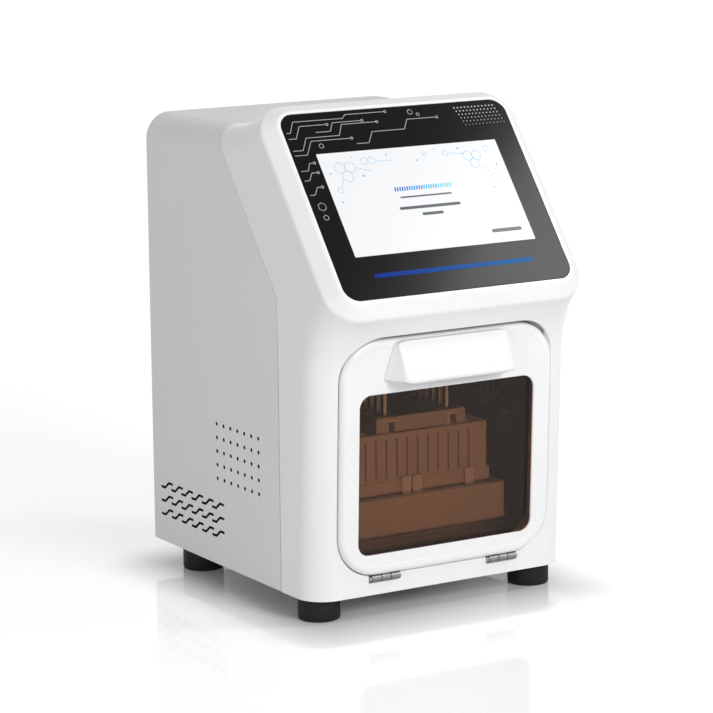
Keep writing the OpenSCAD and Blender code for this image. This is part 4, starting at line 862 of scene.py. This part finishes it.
# ------------------------ finishes of the inner pieces
def inner_finishes():
    """Rows of a finish and the nodes that have it."""
    return (
        (finish("panel_powder_coat", (0.62, 0.625, 0.63), 0.45, 1300, 0.035, 20, 0.04, 0.04), "back_panel"),
        (finish("panel_metal", (0.4, 0.41, 0.42), 0.4), "display_panel"),
        (finish("green_solder_mask", (0.012, 0.11, 0.05), 0.3, 260, 0.03, 90, 0.08, 0.35),
         "display_board control_board"),
        (bare_metal("zinc_plated_steel", (0.55, 0.56, 0.58), 0.34),
         "base_plate catch_plates head_rail_block motor_bracket rod_rail_block usb_port hinge_left_pin "
         "hinge_right_pin"),
        (bare_metal("ground_steel", (0.62, 0.62, 0.63), 0.24),
         "door_magnets plate_clips head_rail head_lead_screw magnetic_rods rod_rail rod_drive_screw "
         "fan_guard panel_screws"),
        (finish("dark_liner_coat", (0.07, 0.062, 0.058), 0.5, 1100, 0.04, 30, 0.05, 0.1), "chamber_liner"),
        (bare_metal("satin_aluminium", (0.62, 0.63, 0.65), 0.36),
         "bulkhead tray_rails heater_block head_carriage head_coupling rod_plate rod_carriage"),
        (finish("tray_paint", (0.52, 0.5, 0.48), 0.42, 1200, 0.03, 30, 0.05, 0.06), "plate_tray"),
        (finish("frosted_polypropylene", (0.72, 0.69, 0.66), 0.42, 600, 0.03, 90, 0.06, 0.1,
                fixed={"Subsurface Weight": 0.25, "Subsurface Scale": 0.002}), "deep_well_plate"),
        (finish("anodised_holder", (0.5, 0.5, 0.5), 0.4, 1200, 0.02, 30, 0.05, 0.05, fixed={"Metallic": 0.6}),
         "comb_holder"),
        (bare_metal("brass_nut", (0.62, 0.44, 0.16), 0.28), "head_screw_nut"),
        (finish("motor_black_lacquer", (0.02, 0.02, 0.022), 0.34, 500, 0.02), "head_motor rod_drive_motor"),
        (finish("quartz_lamp_tube", (0.78, 0.82, 0.86), 0.12, 300, 0.005, 20, 0.03, 0.05), "uv_lamp"),
        (bare_metal("supply_case", (0.5, 0.51, 0.53), 0.4), "power_supply"),
        (finish("black_moulded_plastic", (0.016, 0.016, 0.018), 0.42, 900, 0.03),
         "fan_frame fan_rotor mains_inlet switch_frame switch_rocker"),
        (finish("clear_moulded_comb", (0.80, 0.79, 0.77), 0.28, 500, 0.02, 90, 0.05, 0.06),
         "tip_comb_left tip_comb_right"),
        (rubber(), "door_seal"), (bar_light(), "status_light"), (amber_pane(), "door_window"),
        (bare_metal("dull_hinge_steel", (0.24, 0.24, 0.24), 0.4),
         "hinge_left_fixed_leaf hinge_right_fixed_leaf hinge_left_door_leaf hinge_right_door_leaf"),
    )


ROUND_NODES = """fan_frame fan_rotor fan_guard mains_inlet hinge_left_fixed_leaf hinge_right_fixed_leaf
    hinge_left_door_leaf hinge_right_door_leaf hinge_left_pin hinge_right_pin tip_comb_left tip_comb_right
    magnetic_rods panel_screws head_lead_screw head_coupling head_screw_nut head_motor rod_drive_screw uv_lamp
    back_panel door_seal door_window comb_holder rod_plate deep_well_plate status_light""".split()


def dress_inner():
    """Gives every carried-over node its finish, and round ones a welded copy that shades smoothly."""
    for material, names in inner_finishes():
        for name in names.split():
            node = frame["nodes"][name]
            if name in ROUND_NODES:
                smooth_copy(name, node["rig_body"], material)
            else:
                node.data.materials.clear()
                node.data.materials.append(material)


# ------------------------ stage
WHITE = (1, 1, 1, 1)
CAMERA_PLACE = (-1.1890, -1.9331, 0.6038)
CAMERA_ANGLES = (-31.431, 10.819, -0.578)       # turn, rise and roll in degrees
LAMPS = (                                       # name, place, point it faces, side and watts
    ("key", (1.662, -1.023, 2.11), (0, -0.1, 0.28), 0.5, 13),
    ("front_soft", (0.3, -2.4, 1.3), (0, 0, 0.2), 0.8, 30),
    ("left_soft", (-2.3, -1.3, 0.6), (0, 0, 0.2), 0.9, 11),
)


def make_stage():
    """Pale floor, soft lamps, white surroundings and the camera."""
    corners = [(-6, -6, 0), (6, -6, 0), (6, 6, 0), (-6, 6, 0)]
    floor = bpy.data.meshes.new("studio_floor")
    floor.from_pydata(corners, [], [(0, 1, 2, 3)])
    linked("studio_floor", floor)
    floor.materials.append(floor_finish())
    set_world()
    for row in LAMPS:
        lamp(*row)
    set_camera()
    bpy.context.scene.view_settings.view_transform = "Standard"


def set_camera():
    """The camera, turned about Z, raised and then rolled about its own line of sight."""
    camera = bpy.data.cameras.new("camera")
    camera.lens = sizes().camera_lens / MM
    camera.sensor_width = 36
    turn, rise, roll = (math.radians(v) for v in CAMERA_ANGLES)
    back = Vector((math.sin(turn) * math.cos(rise), -math.cos(turn) * math.cos(rise), math.sin(rise)))
    right = Vector((math.cos(turn), math.sin(turn), 0))
    up = back.cross(right)
    across = right * math.cos(roll) + up * math.sin(roll)
    upward = up * math.cos(roll) - right * math.sin(roll)
    axes = Matrix((across, upward, back)).transposed().to_4x4()
    eye = linked("camera", camera)
    eye.matrix_world = Matrix.Translation(CAMERA_PLACE) @ axes
    bpy.context.scene.camera = eye


def lamp(name, place, aim, size, power):
    """A soft square lamp that faces a point."""
    data = bpy.data.lights.new(name, "AREA")
    data.size = size
    data.energy = power
    made = linked(name, data)
    made.location = place
    made.rotation_euler = (Vector(aim) - Vector(place)).to_track_quat("-Z", "Y").to_euler()


def seen_ray(tree):
    """1 for rays from the camera, a mirror or a clear piece, and 0 for light on the object."""
    path = add(tree, "LightPath").outputs
    total = path["Is Camera Ray"]
    for kind in ("Is Glossy Ray", "Is Transmission Ray"):
        total = add(tree, "Math", {0: total, 1: path[kind]}, operation="MAXIMUM").outputs["Value"]
    return total


def floor_finish():
    """White floor with a faint mirror, lifted to white where it is looked at, with its shadow kept.

    The lift grows with the distance from the machine's foot print, up to its full strength.
    """
    half_print, reach, strength = (0.1, 0.11, 0), 0.07, 0.34
    made = finish("studio_floor", (0.86, 0.865, 0.875), 0.06, 60, 0.0005, 2, 0.02, 0.01,
                  fixed={"Specular IOR Level": 0.3})
    tree = made.node_tree
    away = own_place(tree)
    for step, value in (("ABSOLUTE", None), ("SUBTRACT", half_print), ("MAXIMUM", (0, 0, 0)),
                        ("LENGTH", None)):
        move = add(tree, "VectorMath", {0: away, 1: value} if value else {0: away}, operation=step)
        away = move.outputs["Value" if step == "LENGTH" else "Vector"]
    rise = add(tree, "MapRange", {"Value": away, "From Max": reach, "To Max": strength},
               interpolation_type="SMOOTHSTEP")
    lift = add(tree, "Math", {0: seen_ray(tree), 1: rise.outputs["Result"]}, operation="MULTIPLY")
    glow = add(tree, "Emission", {"Color": WHITE, "Strength": lift.outputs["Value"]})
    total = add(tree, "AddShader", {0: tree.nodes["Principled BSDF"].outputs["BSDF"],
                                    1: glow.outputs["Emission"]})
    put(tree, tree.nodes["Material Output"], {"Surface": total.outputs["Shader"]})
    return made


def set_world():
    """Even surroundings: white where looked at, and softer as light on the object."""
    world = bpy.data.worlds.new("surroundings")
    bpy.context.scene.world = world
    world.use_nodes = True
    tree = world.node_tree
    soft = tree.nodes["Background"]
    put(tree, soft, {"Color": WHITE, "Strength": 0.42})
    white = add(tree, "Background", {"Color": WHITE, "Strength": 1.0})
    both = add(tree, "MixShader", {"Fac": seen_ray(tree), 1: soft.outputs["Background"],
                                   2: white.outputs["Background"]})
    put(tree, tree.nodes["World Output"], {"Surface": both.outputs["Shader"]})


# ------------------------ operators
class EXTRACTOR_OT_fascia(bpy.types.Operator):
    """Make the moulded fascia"""

    bl_idname = "extractor.fascia"
    bl_label = "Fascia"

    def execute(self, context):
        make_fascia()
        return {"FINISHED"}


class EXTRACTOR_OT_casing(bpy.types.Operator):
    """Make the painted casing with its vents and louvres"""

    bl_idname = "extractor.casing"
    bl_label = "Casing"

    def execute(self, context):
        make_casing()
        return {"FINISHED"}


class EXTRACTOR_OT_screen(bpy.types.Operator):
    """Make the cover glass, its print and the display picture"""

    bl_idname = "extractor.screen"
    bl_label = "Screen"

    def execute(self, context):
        make_cover_glass()
        make_print()
        return {"FINISHED"}


class EXTRACTOR_OT_door(bpy.types.Operator):
    """Make the door frame and its handle"""

    bl_idname = "extractor.door"
    bl_label = "Door"

    def execute(self, context):
        make_door_frame()
        make_handle()
        return {"FINISHED"}


class EXTRACTOR_OT_feet(bpy.types.Operator):
    """Make the four rubber feet"""

    bl_idname = "extractor.feet"
    bl_label = "Feet"

    def execute(self, context):
        make_feet()
        return {"FINISHED"}


class EXTRACTOR_OT_inner(bpy.types.Operator):
    """Give the inner and rear pieces their finishes"""

    bl_idname = "extractor.inner"
    bl_label = "Inner pieces"

    def execute(self, context):
        dress_inner()
        return {"FINISHED"}


class EXTRACTOR_OT_stage(bpy.types.Operator):
    """Make the floor, the lamps and the camera"""

    bl_idname = "extractor.stage"
    bl_label = "Stage"

    def execute(self, context):
        make_stage()
        return {"FINISHED"}


OPERATORS = (EXTRACTOR_OT_stage, EXTRACTOR_OT_fascia, EXTRACTOR_OT_casing, EXTRACTOR_OT_screen,
             EXTRACTOR_OT_door, EXTRACTOR_OT_feet, EXTRACTOR_OT_inner)


class EXTRACTOR_PT_panel(bpy.types.Panel):
    """Lists the operators, the sizes and the colours"""

    bl_label = "Extractor"
    bl_space_type = "VIEW_3D"
    bl_region_type = "UI"
    bl_category = "Extractor"

    def draw(self, context):
        for operator in OPERATORS:
            self.layout.operator(operator.bl_idname)
        for group in (context.scene.extractor_sizes, context.scene.extractor_colours):
            for name in type(group).__annotations__:
                self.layout.prop(group, name)


CLASSES = (ExtractorSizes, ExtractorColours, *OPERATORS, EXTRACTOR_PT_panel)


def register():
    """Adds the classes and the scene's settings."""
    for cls in CLASSES:
        bpy.utils.register_class(cls)
    bpy.types.Scene.extractor_sizes = PointerProperty(type=ExtractorSizes)
    bpy.types.Scene.extractor_colours = PointerProperty(type=ExtractorColours)


def unregister():
    """Takes the settings and the classes away again."""
    del bpy.types.Scene.extractor_colours
    del bpy.types.Scene.extractor_sizes
    for cls in reversed(CLASSES):
        bpy.utils.unregister_class(cls)


def main():
    """Makes every piece in order."""
    register()
    for operator in OPERATORS:
        group, name = operator.bl_idname.split(".")
        getattr(getattr(bpy.ops, group), name)()


if __name__ == "__main__":
    main()
